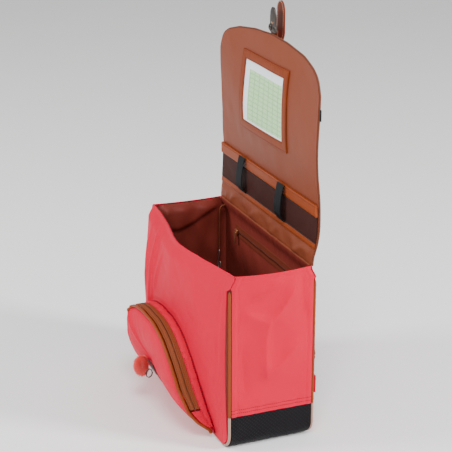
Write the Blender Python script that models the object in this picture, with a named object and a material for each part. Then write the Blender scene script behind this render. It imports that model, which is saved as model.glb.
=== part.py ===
"""School ransel, a children's satchel backpack, standing with its flap open and upright.

Metres, +Z up. The front of the bag faces -Y, and it stands on Z = 0.
"""
import math
from collections import namedtuple

import bmesh
import bpy
from mathutils import Vector

# Body
BODY_WIDTH = 0.380
BODY_HEIGHT = 0.300
BODY_DEPTH = 0.150
RIM_PINCH = 0.009
PINCH_HEIGHT = 0.023
CORNER_RADIUS = 0.030
BASE_HEIGHT = 0.061
WALL = 0.0022
BASE_WALL = 0.0030
LINING_WALL = 0.0010
GAP = 0.0004
FRONT_BULGE = 0.034
SIDE_BOW = 0.008

# Piping along the seams
PIPING_RADIUS = 0.0024
PIPING_DROP = 0.023
SEAM_BLEND = 0.005

# Front pocket
POCKET_WIDTH = 0.272
POCKET_HEIGHT = 0.168
POCKET_FOOT = 0.010
POCKET_DEPTH = 0.039
POCKET_CROWN = 0.025
POCKET_SQUARENESS = 2.7
ZIP_SHARE = 0.58
ZIP_END_HEIGHT = 0.046
ZIP_MIDDLE = 1 - ZIP_SHARE / 2
POCKET_MIDDLE_DEPTH = 0.012
GUSSET_FOOT_RISE = 0.012
CROWN_SHOULDER = 2.4
CROWN_FLATNESS = 0.7
CROWN_RINGS = (1.0, 0.94, 0.84, 0.68, 0.48, 0.24)
SLIDER_RISE = 0.018
SLIDER_LENGTH = 0.011
SLIDER_WIDTH = 0.008
SLIDER_HEIGHT = 0.004
PULL_LENGTH = 0.024
PULL_WIDTH = 0.007
PULL_THICKNESS = 0.0014

# Clasp plate, loop, webbing and pompom on the pocket
CLASP_X = 0.004
CLASP_HEIGHT = 0.083
WEBBING_WIDTH = 0.025
WEBBING_LENGTH = 0.036
WEBBING_THICKNESS = 0.0018
PLATE_WIDTH = 0.025
PLATE_LENGTH = 0.022
PLATE_THICKNESS = 0.0022
LOOP_WIDTH = 0.026
LOOP_REACH = 0.015
LOOP_OUT_SHARE = 0.86
LOOP_DOWN_SHARE = 0.5
LOOP_SEAT = 0.0044
LOOP_WIRE = 0.0014
POMPOM_WIDTH = 0.028
POMPOM_HEIGHT = 0.035
POMPOM_THICKNESS = 0.019
POMPOM_DROP = 0.009
POMPOM_HEAD_SHARE = 0.82
POMPOM_SEAT_SHARE = 0.3
POMPOM_CORD_RADIUS = 0.0009

# Flap
FLAP_WIDTH = 0.398
FLAP_HEIGHT = 0.332
FLAP_CORNER_DROP = 0.057
FLAP_LEAN = 0.010
FLAP_PIPING_RADIUS = 0.0013
HEM_STRIP_FROM = 0.029
HEM_STRIP_HEIGHT = 0.009
MESH_HEIGHT = 0.043
MESH_SLACK = 0.0030
BINDING_HEIGHT = 0.019
TRIM_THICKNESS = 0.0012
ELASTIC_WIDTH = 0.026
ELASTIC_THICKNESS = 0.0016
ELASTIC_BULGE = 0.0095
ELASTIC_SEAT = 0.00128
ELASTIC_ROUND = 0.6
ELASTIC_TOP_SHARE = 0.55
ELASTIC_LEFT_X = -0.092
ELASTIC_RIGHT_X = 0.070
WINDOW_WIDTH = 0.186
WINDOW_HEIGHT = 0.133
WINDOW_FROM = 0.1575
FRAME_BORDER = 0.0145
FRAME_THICKNESS = 0.0024
CARD_THICKNESS = 0.0005
FILM_THICKNESS = 0.0005
TAB_WIDTH = 0.010
TAB_HEIGHT = 0.018
TAB_AT = 0.245

# Closing strap and clasp tongue above the flap
STRAP_WIDTH = 0.030
STRAP_THICKNESS = 0.0030
STRAP_ON_FLAP = 0.165
STRAP_TAIL = 0.052
STRAP_STANDOFF = 0.011
STRAP_SEWN_SHARE = 0.45
STRAP_POINT = 0.018
STRAP_POINT_ROWS = (0.0135, 0.0090, 0.0051, 0.0021, 0.0)
CLASP_TAB_WIDTH = 0.024
CLASP_TAB_LENGTH = 0.034
CLASP_TAB_RISE = 0.006
TONGUE_WIDTH = 0.026
TONGUE_LENGTH = 0.042
TONGUE_THICKNESS = 0.0024

# Inside
INNER_ZIP_LENGTH = 0.266
INNER_ZIP_WIDTH = 0.022
INNER_ZIP_DROP = 0.046
INNER_PULL_LENGTH = 0.022
HOOK_LENGTH = 0.042
HOOK_WIDTH = 0.014
HOOK_THICKNESS = 0.0032
HOOK_SHANK = 0.0118
HOOK_SHOULDER = 0.0189
HOOK_TIP = 0.0210

# Back
PAD_WIDTH = 0.298
PAD_HEIGHT = 0.212
PAD_FOOT = 0.035
PAD_THICKNESS = 0.011
PAD_EDGE_SHARE = 0.35
PAD_SQUARENESS = 6
SHOULDER_WIDTH = 0.055
SHOULDER_THICKNESS = 0.0065
SHOULDER_TOP_DROP = 0.030
SHOULDER_TOP_X = 0.052
SHOULDER_FOOT_X = 0.112
SHOULDER_FOOT_HEIGHT = 0.125
SHOULDER_CLEARANCE = 0.013
SHOULDER_SWEEP = 1.4
SHOULDER_TAPER = 0.35
SHOULDER_TAPER_SHARE = 0.25
SHOULDER_TOP_SHARES = (0.0, 0.04, 0.08, 0.12, 0.17, 0.23)
BACK_WEBBING_WIDTH = 0.025
ADJUSTER_LENGTH = 0.018
ADJUSTER_BORDER = 0.003
ADJUSTER_THICKNESS = 0.0044
ANCHOR_HEIGHT = 0.094
ANCHOR_WIDTH = 0.030
ANCHOR_LENGTH = 0.036
HANDLE_WIDTH = 0.018
HANDLE_SPAN = 0.124
HANDLE_REACH = 0.026
HANDLE_END = 0.014
HANDLE_DROP = 0.011

# The key cord's route inside the back left corner: its place in from the bag's left side and
# from the back lining, and its depth below the rim
CORD_DIAMETER = 0.003
CORD_ROUTE = (
    (0.0220, 0.0000, 0.0100),
    (0.0220, 0.0030, 0.0101),
    (0.0220, 0.0060, 0.0108),
    (0.0220, 0.0085, 0.0126),
    (0.0220, 0.0102, 0.0156),
    (0.0219, 0.0110, 0.0195),
    (0.0217, 0.0113, 0.0250),
    (0.0214, 0.0114, 0.0330),
    (0.0210, 0.0114, 0.0420),
    (0.0206, 0.0114, 0.0510),
    (0.0203, 0.0114, 0.0600),
    (0.0201, 0.0114, 0.0690),
    (0.0200, 0.0114, 0.0780),
    (0.0200, 0.0114, 0.0860),
    (0.0200, 0.0114, 0.0930),
)

# Front panel: how full its bulge is at each share of the height, and how far the profile
# across has turned from the stuffed panel's to the rim's own bow
FrontSection = namedtuple("FrontSection", "height fullness rim")
FRONT_SECTIONS = (
    FrontSection(0.00, 0.00, 0.00),
    FrontSection(0.13, 0.34, 0.00),
    FrontSection(0.24, 0.65, 0.00),
    FrontSection(0.38, 0.90, 0.00),
    FrontSection(0.55, 1.00, 0.00),
    FrontSection(0.80, 1.00, 0.35),
    FrontSection(1.00, 0.84, 1.00),
)
RimSection = namedtuple("RimSection", "across bow")
RIM_SECTIONS = (
    RimSection(-1.00, 0.00),
    RimSection(-0.75, 0.12),
    RimSection(-0.45, 0.40),
    RimSection(-0.03, 0.95),
    RimSection(0.15, 1.00),
    RimSection(0.55, 0.57),
    RimSection(0.80, 0.23),
    RimSection(1.00, 0.00),
)
PANEL_SQUARENESS = 5

# Side panels: share of the bow outwards on the right and on the left at each share of the height
SideSection = namedtuple("SideSection", "height right left")
SIDE_SECTIONS = (
    SideSection(0.00, 0.00, 0.00),
    SideSection(0.20, 0.00, 0.00),
    SideSection(0.45, 0.35, 0.30),
    SideSection(0.70, 0.30, -0.60),
    SideSection(0.88, 0.60, -1.00),
    SideSection(1.00, 1.00, -0.55),
)

# Pocket: share of its depth at each share of its height
PocketSection = namedtuple("PocketSection", "height depth")
POCKET_SECTIONS = (
    PocketSection(0.00, 0.14),
    PocketSection(0.06, 0.34),
    PocketSection(0.13, 0.64),
    PocketSection(0.25, 0.88),
    PocketSection(0.50, 1.00),
    PocketSection(1.00, 1.00),
)

# Flap: share of the lean back at the middle and at the edges, and of the width, at each share
# of the height
FlapSection = namedtuple("FlapSection", "height middle edge width")
FLAP_SECTIONS = (
    FlapSection(0.00, 0.00, 0.00, 0.955),
    FlapSection(0.06, 0.45, 0.45, 0.975),
    FlapSection(0.15, 0.95, 0.95, 1.000),
    FlapSection(0.27, 1.05, 1.00, 0.996),
    FlapSection(0.37, 0.60, 0.85, 0.990),
    FlapSection(0.47, 0.05, 0.65, 0.980),
    FlapSection(0.56, -0.15, 0.50, 0.980),
    FlapSection(0.70, 0.00, 0.45, 0.995),
    FlapSection(0.85, 0.40, 0.50, 1.000),
    FlapSection(1.00, 1.40, 0.70, 1.000),
)
# Flap's upper outline: share of the corner's drop at each share across
OutlineSection = namedtuple("OutlineSection", "across drop")
FLAP_OUTLINE = (
    OutlineSection(0.00, 0.00),
    OutlineSection(0.32, 0.05),
    OutlineSection(0.65, 0.19),
    OutlineSection(0.84, 0.36),
    OutlineSection(0.92, 0.50),
    OutlineSection(0.97, 0.68),
    OutlineSection(1.00, 1.00),
)
# Clasp tongue: share of its half width at each share of its length
TongueSection = namedtuple("TongueSection", "height width")
TONGUE_SECTIONS = (
    TongueSection(0.00, 0.80),
    TongueSection(0.10, 1.06),
    TongueSection(0.28, 1.06),
    TongueSection(0.34, 0.86),
    TongueSection(0.62, 0.86),
    TongueSection(0.80, 0.76),
    TongueSection(0.92, 0.53),
    TongueSection(0.98, 0.27),
)

# Steps and rows of the faceted solids
FRONT_COLUMNS = 18
PANEL_ROWS = 7
CORNER_ROWS = 4
SIDE_COLUMNS = 6
EVEN_SHARE = 0.45
FLAP_COLUMNS = 16
FLAP_EDGE_SHARES = (0.84, 0.89, 0.93, 0.965, 0.99, 1.0)
FLAP_ROWS = 14
ARCH_STEPS = 28


def clear_scene():
    """Remove what the scene holds."""
    for item in list(bpy.data.objects):
        bpy.data.objects.remove(item, do_unlink=True)


def linear(hex_colour):
    """Turn an sRGB hex colour to linear values."""
    values = []
    for place in (0, 2, 4):
        share = int(hex_colour[place:place + 2], 16) / 255
        values.append(share / 12.92 if share <= 0.04045 else ((share + 0.055) / 1.055) ** 2.4)
    return (*values, 1.0)


def make_material(name, hex_colour, roughness, metallic=0.0):
    """Return a plain Principled material."""
    mat = bpy.data.materials.new(name)
    mat.use_nodes = True
    shader = mat.node_tree.nodes["Principled BSDF"]
    shader.inputs["Base Color"].default_value = linear(hex_colour)
    shader.inputs["Roughness"].default_value = roughness
    shader.inputs["Metallic"].default_value = metallic
    return mat


def make_materials():
    """Return the bag's materials by name."""
    return {
        "coral": make_material("coral_nylon", "E0646A", 0.55),
        "lining": make_material("brown_lining", "6A2A20", 0.6),
        "flap_lining": make_material("terracotta_lining", "AA6850", 0.6),
        "base": make_material("charcoal_fabric", "2F2D33", 0.7),
        "cognac": make_material("cognac_trim", "B05A35", 0.5),
        "leather": make_material("cognac_leather", "A14A22", 0.45),
        "pale": make_material("pale_piping", "B9998F", 0.5),
        "mesh": make_material("brown_mesh", "4F2E2C", 0.7),
        "elastic": make_material("black_elastic", "1F2428", 0.8),
        "webbing": make_material("grey_webbing", "55504F", 0.8),
        "metal": make_material("gunmetal", "8A8380", 0.35, 0.9),
        "film": make_material("clear_film", "E6EAEA", 0.15),
        "card": make_material("timetable_paper", "DDE3E6", 0.8),
        "pompom": make_material("pompom_yarn", "EE6A62", 0.9),
    }


def smooth(share):
    """Ease from 0 to 1."""
    share = min(max(share, 0.0), 1.0)
    return share * share * (3 - 2 * share)


def read_table(rows, key, at, column):
    """Read a column of a table at a share of its key column, eased between its rows."""
    low = rows[0]
    for high in rows[1:]:
        start, end = getattr(low, key), getattr(high, key)
        if at <= end:
            part = min(max((at - start) / (end - start), 0.0), 1.0)
            return getattr(low, column) + (getattr(high, column) - getattr(low, column)) * part
        low = high
    return getattr(rows[-1], column)


def soft_table(rows, key, at, column, reach=0.05):
    """Read a table through a short moving average, which rounds its corners."""
    places = (at - reach, at - reach / 2, at, at + reach / 2, at + reach)
    first, last = getattr(rows[0], key), getattr(rows[-1], key)
    places = [2 * first - place if place < first else place for place in places]
    total = 0.0
    for place in places:
        if place > last:
            mirrored = read_table(rows, key, 2 * last - place, column)
            total += 2 * getattr(rows[-1], column) - mirrored
        else:
            total += read_table(rows, key, place, column)
    return total / len(places)


def make_object(name, bm, mat):
    """Turn a bmesh into a closed, outward facing object."""
    bmesh.ops.recalc_face_normals(bm, faces=bm.faces)
    mesh = bpy.data.meshes.new(name)
    bm.to_mesh(mesh)
    bm.free()
    mesh.shade_smooth()
    mesh.set_sharp_from_angle(angle=math.radians(40))
    mesh.materials.append(mat)
    item = bpy.data.objects.new(name, mesh)
    bpy.context.scene.collection.objects.link(item)
    return item


def slab(name, outer, inner, mat):
    """Close two matching grids of points into one solid sheet."""
    bm = bmesh.new()
    grids = [[[bm.verts.new(point) for point in row] for row in grid] for grid in (outer, inner)]
    rows, columns = len(outer), len(outer[0])
    for grid in grids:
        for row in range(rows - 1):
            for column in range(columns - 1):
                bm.faces.new((grid[row][column], grid[row][column + 1],
                              grid[row + 1][column + 1], grid[row + 1][column]))
    border = [(0, column) for column in range(columns)]
    border += [(row, columns - 1) for row in range(1, rows)]
    border += [(rows - 1, column) for column in range(columns - 2, -1, -1)]
    border += [(row, 0) for row in range(rows - 2, 0, -1)]
    for place, (row, column) in enumerate(border):
        next_row, next_column = border[(place + 1) % len(border)]
        bm.faces.new((grids[0][row][column], grids[0][next_row][next_column],
                      grids[1][next_row][next_column], grids[1][row][column]))
    return make_object(name, bm, mat)


def loft(name, rings, mat, cap=True, closed=False):
    """Skin rings of points, with flat caps or with the last ring joined to the first."""
    bm = bmesh.new()
    loops = [[bm.verts.new(point) for point in ring] for ring in rings]
    count = len(rings[0])
    pairs = list(zip(loops, loops[1:]))
    if closed:
        pairs.append((loops[-1], loops[0]))
    for low, high in pairs:
        for step in range(count):
            after = (step + 1) % count
            bm.faces.new((low[step], low[after], high[after], high[step]))
    if cap and not closed:
        bm.faces.new(loops[0])
        bm.faces.new(loops[-1])
    return make_object(name, bm, mat)


def band(name, stations, mat, closed=False):
    """Sweep a flat strip through stations of centre, half width and half thickness vectors."""
    rings = []
    for centre, across, through in stations:
        rings.append((centre - across - through, centre + across - through,
                      centre + across + through, centre - across + through))
    return loft(name, rings, mat, closed=closed)


def tube(name, points, radius, mat, closed=False, resolution=2):
    """Make a round tube through points as a bevelled curve."""
    curve = bpy.data.curves.new(name, "CURVE")
    curve.dimensions = "3D"
    curve.bevel_depth = radius
    curve.bevel_resolution = resolution
    curve.use_fill_caps = True
    spline = curve.splines.new("POLY")
    spline.points.add(len(points) - 1)
    for target, point in zip(spline.points, points):
        target.co = (*point, 1.0)
    spline.use_cyclic_u = closed
    curve.materials.append(mat)
    item = bpy.data.objects.new(name, curve)
    bpy.context.scene.collection.objects.link(item)
    return item


def box(name, centre, along, across, through, mat):
    """Make a block from its centre and three half vectors."""
    return band(name, ((centre - along, across, through), (centre + along, across, through)), mat)


# Shape of the body

def half_depth(height):
    """Half the bag's depth, which pinches in towards the rim."""
    return BODY_DEPTH / 2 - RIM_PINCH * smooth((height - BODY_HEIGHT + PINCH_HEIGHT) / PINCH_HEIGHT)


def half_outline(height, inset=0.0):
    """Half the width of the front and back outline, with round bottom corners."""
    if height >= CORNER_RADIUS:
        return BODY_WIDTH / 2 - inset
    radius = CORNER_RADIUS - inset
    rise = min(CORNER_RADIUS - height, radius)
    return BODY_WIDTH / 2 - CORNER_RADIUS + math.sqrt(radius * radius - rise * rise)


def front_y(x, height):
    """Outer face of the front panel, which the bag's filling pushes out."""
    across = min(max(x / half_outline(height), -1.0), 1.0)
    share = height / BODY_HEIGHT
    stuffed = 1 - abs(across) ** PANEL_SQUARENESS
    rim = soft_table(RIM_SECTIONS, "across", across, "bow", 0.08)
    turn = soft_table(FRONT_SECTIONS, "height", share, "rim")
    profile = stuffed + (rim - stuffed) * turn
    fullness = max(soft_table(FRONT_SECTIONS, "height", share, "fullness"), 0.0)
    return -half_depth(height) - FRONT_BULGE * fullness * max(profile, 0.0)


def side_bow(across, height, column):
    """How far a side panel bows out at a share of its depth."""
    share = soft_table(SIDE_SECTIONS, "height", height / BODY_HEIGHT, column)
    return SIDE_BOW * share * (1 - across * across)


def seam_open(height):
    """1 where the seam holds piping and 0 at the rim above it."""
    top = BODY_HEIGHT - PIPING_DROP
    return 1 - smooth((height - top) / SEAM_BLEND)


def face_room(height):
    """Room that the front and back panels leave at their edges for the piping."""
    return (2 * PIPING_RADIUS + GAP) * seam_open(height)


def side_room(height):
    """Room that the sides and the base leave at their front and back edges."""
    flush = WALL + GAP
    return flush + (2 * PIPING_RADIUS + GAP - flush) * seam_open(height)


def shell_heights(start, inset):
    """Heights of the rows of a panel with round bottom corners."""
    radius = CORNER_RADIUS - inset
    heights = []
    for step in range(CORNER_ROWS):
        angle = math.pi / 2 * step / CORNER_ROWS
        heights.append(CORNER_RADIUS - radius * math.cos(angle))
    seam_top = BODY_HEIGHT - PIPING_DROP
    for step in range(PANEL_ROWS):
        heights.append(CORNER_RADIUS + (seam_top - CORNER_RADIUS) * step / (PANEL_ROWS - 1))
    heights.append(seam_top + SEAM_BLEND)
    heights.append((seam_top + SEAM_BLEND + BODY_HEIGHT) / 2)
    heights.append(BODY_HEIGHT)
    return [height for height in heights if height >= start - GAP]


def spread(count):
    """Shares from -1 to 1, closer together near both ends."""
    shares = []
    for step in range(count + 1):
        even = 2 * step / count - 1
        shares.append(EVEN_SHARE * even + (1 - EVEN_SHARE) * math.sin(even * math.pi / 2))
    return shares


def build_front_panel(mats):
    """Coral front, bulged by its filling."""
    inset = 2 * PIPING_RADIUS + GAP
    outer, inner = [], []
    for height in shell_heights(inset, inset):
        half = half_outline(height, face_room(height))
        row = [Vector((share * half, front_y(share * half, height), height))
               for share in spread(FRONT_COLUMNS)]
        outer.append(row)
        inner.append([point + Vector((0, WALL, 0)) for point in row])
    slab("front_panel", outer, inner, mats["coral"])


def build_back_panel(mats):
    """Coral back, flat and stiff."""
    inset = 2 * PIPING_RADIUS + GAP
    outer, inner = [], []
    for height in shell_heights(inset, inset):
        half = half_outline(height, face_room(height))
        row = [Vector((share * half, half_depth(height), height))
               for share in spread(SIDE_COLUMNS)]
        outer.append(row)
        inner.append([point - Vector((0, WALL, 0)) for point in row])
    slab("back_panel", outer, inner, mats["coral"])


def build_sides(mats):
    """Coral side panels above the base."""
    start = BASE_HEIGHT + GAP / 2
    heights = [start] + [height for height in shell_heights(start, 0.0) if height > start + 0.004]
    for name, side, column in (("side_left", -1, "left"), ("side_right", 1, "right")):
        outer, inner = [], []
        for height in heights:
            reach = half_depth(height) - side_room(height)
            outer_row, inner_row = [], []
            for share in spread(SIDE_COLUMNS):
                x = BODY_WIDTH / 2 + side_bow(share, height, column)
                outer_row.append(Vector((side * x, share * reach, height)))
                inner_row.append(Vector((side * (x - WALL), share * reach, height)))
            outer.append(outer_row)
            inner.append(inner_row)
        slab(name, outer, inner, mats["coral"])


def outline_path(inset, top):
    """Points of the U-shaped outline from the left, round the bottom, to the right."""
    radius = CORNER_RADIUS - inset
    centre = BODY_WIDTH / 2 - CORNER_RADIUS
    quarter = []
    for step in range(CORNER_ROWS + 1):
        angle = math.pi / 2 * step / CORNER_ROWS
        quarter.append((centre + radius * math.cos(angle), CORNER_RADIUS - radius * math.sin(angle)))
    right = [(BODY_WIDTH / 2 - inset, top)] + quarter
    left = [(-x, z) for x, z in right]
    return left + [(0.0, inset)] + right[::-1]


def build_base(mats):
    """Dark base that wraps the bottom and the lower sides."""
    top = BASE_HEIGHT - GAP / 2
    outer, inner = [], []
    for (x, z), (inner_x, inner_z) in zip(outline_path(0.0, top), outline_path(BASE_WALL, top)):
        reach = half_depth(z) - side_room(z)
        outer.append([Vector((x, share * reach, z)) for share in (-1, -0.5, 0, 0.5, 1)])
        inner.append([Vector((inner_x, share * reach, inner_z)) for share in (-1, -0.5, 0, 0.5, 1)])
    slab("base", outer, inner, mats["base"])


def lining_ring(height, inset):
    """One level loop of the lining, inside the panels and the piping by an inset."""
    shell = WALL + 2 * GAP + inset
    side_x = half_outline(height, BASE_WALL + 2.5 * GAP + inset)
    corner = 2 * PIPING_RADIUS + 2 * GAP + inset
    corner_x = half_outline(height, corner)
    depth = half_depth(height)
    above_piping = height > 2 * PIPING_RADIUS + 1.5 * GAP
    panel_half = half_outline(height, face_room(height))
    front, back = [], []
    for share in spread(FRONT_COLUMNS):
        x = min(max(share * panel_half, GAP - corner_x), corner_x - GAP)
        y = front_y(x, height) + shell if above_piping else corner - depth
        front.append(Vector((x, y, height)))
    for share in spread(SIDE_COLUMNS):
        x = -share * (corner_x - GAP)
        back.append(Vector((x, depth - (shell if above_piping else corner), height)))
    right, left = [], []
    for share in spread(SIDE_COLUMNS)[1:-1]:
        y = share * (depth - corner)
        right.append(Vector((side_x + side_bow(share, height, "right"), y, height)))
        left.append(Vector((-side_x - side_bow(share, height, "left"), -y, height)))
    turns = [Vector((across * corner_x, along * (depth - corner), height))
             for across, along in ((1, -1), (1, 1), (-1, 1), (-1, -1))]
    return front + [turns[0]] + right + [turns[1]] + back + [turns[2]] + left + [turns[3]]


def build_lining(mats):
    """Brown lining of the main compartment, open at the rim."""
    floor = BASE_WALL + GAP
    top = BODY_HEIGHT - GAP
    above = 2 * PIPING_RADIUS + GAP
    heights = [floor] + shell_heights(above, above)
    heights[-1] = top
    outer = [lining_ring(height, 0.0) for height in heights]
    raised = [floor + LINING_WALL] + heights[1:]
    inner = [lining_ring(height, LINING_WALL) for height in raised]
    loft("bag_lining", outer + inner[::-1], mats["lining"])


def build_seam_piping(mats):
    """Piping in the front and back seams, pale where it meets the base."""
    seam_top = BODY_HEIGHT - PIPING_DROP - GAP
    inset = PIPING_RADIUS
    for side, face in ((-1, "front"), (1, "back")):
        def place(x, z, toward=side):
            return Vector((x, toward * (half_depth(z) - PIPING_RADIUS), z))
        low = [place(x, z) for x, z in outline_path(inset, BASE_HEIGHT - GAP)]
        tube("piping_%s_base" % face, low, PIPING_RADIUS, mats["pale"])
        for end, hand in ((-1, "left"), (1, "right")):
            x = end * (BODY_WIDTH / 2 - inset)
            start = BASE_HEIGHT + GAP
            count = PANEL_ROWS
            points = [place(x, start + (seam_top - start) * step / count) for step in range(count + 1)]
            tube("piping_%s_%s" % (face, hand), points, PIPING_RADIUS, mats["cognac"])


# Front pocket

def arch(share, inset=0.0):
    """Point of the pocket's outline, from its left foot over the top to its right foot."""
    angle = math.pi * (1 - share)
    power = 2 / POCKET_SQUARENESS
    cosine, sine = math.cos(angle), max(math.sin(angle), 0.0)
    x = math.copysign(abs(cosine) ** power, cosine) * (POCKET_WIDTH / 2 - inset)
    return x, POCKET_FOOT + sine ** power * (POCKET_HEIGHT - inset)


def pocket_depth(z):
    """Depth of the pocket's gusset at a height."""
    share = (z - POCKET_FOOT) / POCKET_HEIGHT
    return POCKET_DEPTH * soft_table(POCKET_SECTIONS, "height", share, "depth", 0.03)


def arch_share_at(height):
    """Share along the arch, from its left foot, at which it reaches a height."""
    part = min(max((height - POCKET_FOOT) / POCKET_HEIGHT, 0.0), 1.0)
    return math.asin(part ** (POCKET_SQUARENESS / 2)) / math.pi


def gusset_point(share, depth_share, inset=0.0):
    """Point of the gusset, 0 at the front panel and 1 at the piping."""
    x, z = arch(share, inset)
    outer_x, outer_z = arch(share)
    usable = pocket_depth(outer_z) - 2.5 * PIPING_RADIUS - GAP
    return Vector((x, front_y(outer_x, outer_z) - 1.5 * GAP - usable * depth_share, z))


def gusset_band(name, start, end, near, far, thickness, mat, near_gap=0.0):
    """Band of the gusset between two shares along it and two shares of its depth."""
    outer, inner = [], []
    clear = Vector((0, near_gap, 0))
    shares = [step / ARCH_STEPS for step in range(ARCH_STEPS + 1)]
    shares += [arch_share_at(POCKET_FOOT + ZIP_END_HEIGHT)]
    shares += [1 - shares[-1]]
    small = 0.5 / ARCH_STEPS ** 2
    inside = [share for share in sorted(shares) if start + small < share < end - small]
    for share in [start] + inside + [end]:
        row = [gusset_point(share, near) - clear, gusset_point(share, far)]
        outer.append(row)
        inner.append([gusset_point(share, near, thickness) - clear,
                      gusset_point(share, far, thickness)])
    return slab(name, outer, inner, mat)


def build_pocket_gusset(mats):
    """Gusset with its zip and end pieces."""
    foot = arch_share_at(POCKET_FOOT + GUSSET_FOOT_RISE)
    zip_end = arch_share_at(POCKET_FOOT + ZIP_END_HEIGHT)
    rear = 1 - ZIP_SHARE
    gusset_band("pocket_gusset", foot, 1 - foot, 0.0, rear, WALL, mats["coral"])
    room = 1.5 * GAP
    clear = GAP / POCKET_HEIGHT
    gusset_band("pocket_zip_tape", zip_end + clear, 1 - zip_end - clear, rear, 1.0,
                TRIM_THICKNESS, mats["cognac"], near_gap=room)
    gusset_band("pocket_gusset_end_left", foot, zip_end - clear, rear, 1.0,
                WALL, mats["coral"], near_gap=room)
    gusset_band("pocket_gusset_end_right", 1 - zip_end + clear, 1 - foot, rear, 1.0,
                WALL, mats["coral"], near_gap=room)


def pocket_edge(share, inset):
    """Front edge of the pocket at a share along the arch."""
    x, z = arch(share, inset)
    outer_x, outer_z = arch(share)
    y = front_y(outer_x, outer_z) - 1.5 * GAP - pocket_depth(outer_z) + PIPING_RADIUS
    return Vector((x, y, z))


def build_pocket_piping(mats):
    """Cognac piping round the pocket's front edge."""
    steps = ARCH_STEPS + 6
    points = [pocket_edge(step / steps, PIPING_RADIUS) for step in range(steps + 1)]
    tube("pocket_piping", points, PIPING_RADIUS, mats["cognac"])


def pocket_middle():
    """Middle of the pocket's front before its crown."""
    z = POCKET_FOOT + POCKET_HEIGHT / 2
    return Vector((0, front_y(0, z) - POCKET_MIDDLE_DEPTH, z))


def pocket_crown(share):
    """Share of the crown at a share of the way from the middle to the edge."""
    return max(1 - share ** CROWN_SHOULDER, 0.0) ** CROWN_FLATNESS


def pocket_loop():
    """Closed outline of the pocket's front panel, inside its piping."""
    inset = 2 * PIPING_RADIUS + GAP
    steps = ARCH_STEPS - 4
    loop = [pocket_edge(step / steps, inset) for step in range(steps + 1)]
    foot_half = POCKET_WIDTH / 2 - inset
    count = 12
    for step in range(1, count):
        x = foot_half * (1 - 2 * step / count)
        loop.append(Vector((x, front_y(x, POCKET_FOOT) - 1.5 * GAP - WALL - GAP, POCKET_FOOT)))
    return loop


def pocket_face_y(x, z):
    """Outer face of the pocket's front at a place."""
    middle = pocket_middle()
    loop = pocket_loop()
    toward = Vector((x - middle.x, z - middle.z))
    if toward.length < GAP:
        return middle.y - POCKET_CROWN
    for start, end in zip(loop, loop[1:] + loop[:1]):
        first = Vector((start.x - middle.x, start.z - middle.z))
        second = Vector((end.x - middle.x, end.z - middle.z))
        area = first.x * second.y - first.y * second.x
        if abs(area) < 1e-12:
            continue
        near = (toward.x * second.y - toward.y * second.x) / area
        far = (first.x * toward.y - first.y * toward.x) / area
        if near >= 0 and far >= 0:
            share = near + far
            edge = (start.y * near + end.y * far) / share
            return middle.y + (edge - middle.y) * share - POCKET_CROWN * pocket_crown(share)
    return middle.y


def build_pocket_front(mats):
    """Crowned coral front of the pocket."""
    middle = pocket_middle()
    loop = pocket_loop()
    bm = bmesh.new()
    skins = []
    for shift in (0.0, WALL):
        rings = []
        for share in CROWN_RINGS:
            crown = Vector((0, shift - POCKET_CROWN * pocket_crown(share), 0))
            rings.append([bm.verts.new(middle + (point - middle) * share + crown) for point in loop])
        tip = bm.verts.new(middle + Vector((0, shift - POCKET_CROWN, 0)))
        count = len(loop)
        for near, far in zip(rings, rings[1:]):
            for step in range(count):
                after = (step + 1) % count
                bm.faces.new((near[step], near[after], far[after], far[step]))
        for step in range(count):
            bm.faces.new((rings[-1][step], rings[-1][(step + 1) % count], tip))
        skins.append(rings[0])
    count = len(loop)
    for step in range(count):
        after = (step + 1) % count
        bm.faces.new((skins[0][step], skins[0][after], skins[1][after], skins[1][step]))
    make_object("pocket_front", bm, mats["coral"])


def build_pocket_slider(mats):
    """Slider and pull at the zip's left end."""
    share = arch_share_at(POCKET_FOOT + ZIP_END_HEIGHT + SLIDER_RISE)
    near, far = gusset_point(share - 0.01, ZIP_MIDDLE), gusset_point(share + 0.01, ZIP_MIDDLE)
    along = (far - near).normalized()
    out = along.cross(Vector((0, -1, 0))).normalized()
    if out.x > 0:
        out = -out
    across = along.cross(out)
    seat = gusset_point(share, ZIP_MIDDLE)
    centre = seat + out * (SLIDER_HEIGHT / 2 + 2 * GAP)
    box("pocket_zip_slider", centre, along * (SLIDER_LENGTH / 2), across * (SLIDER_WIDTH / 2),
        out * (SLIDER_HEIGHT / 2), mats["metal"])
    pull = seat + out * (SLIDER_HEIGHT + PULL_THICKNESS / 2 + 3 * GAP) - along * (PULL_LENGTH / 2)
    box("pocket_zip_pull", pull, along * (PULL_LENGTH / 2), across * (PULL_WIDTH / 2),
        out * (PULL_THICKNESS / 2), mats["metal"])


def face_frame(z):
    """Point, upward and outward directions on the pocket's face at its middle line."""
    step = 0.002
    low = Vector((0, pocket_face_y(0, z - step), z - step))
    high = Vector((0, pocket_face_y(0, z + step), z + step))
    up = (high - low).normalized()
    out = Vector((1, 0, 0)).cross(up)
    if out.y > 0:
        out = -out
    return Vector((0, pocket_face_y(0, z), z)), up, out


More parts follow.
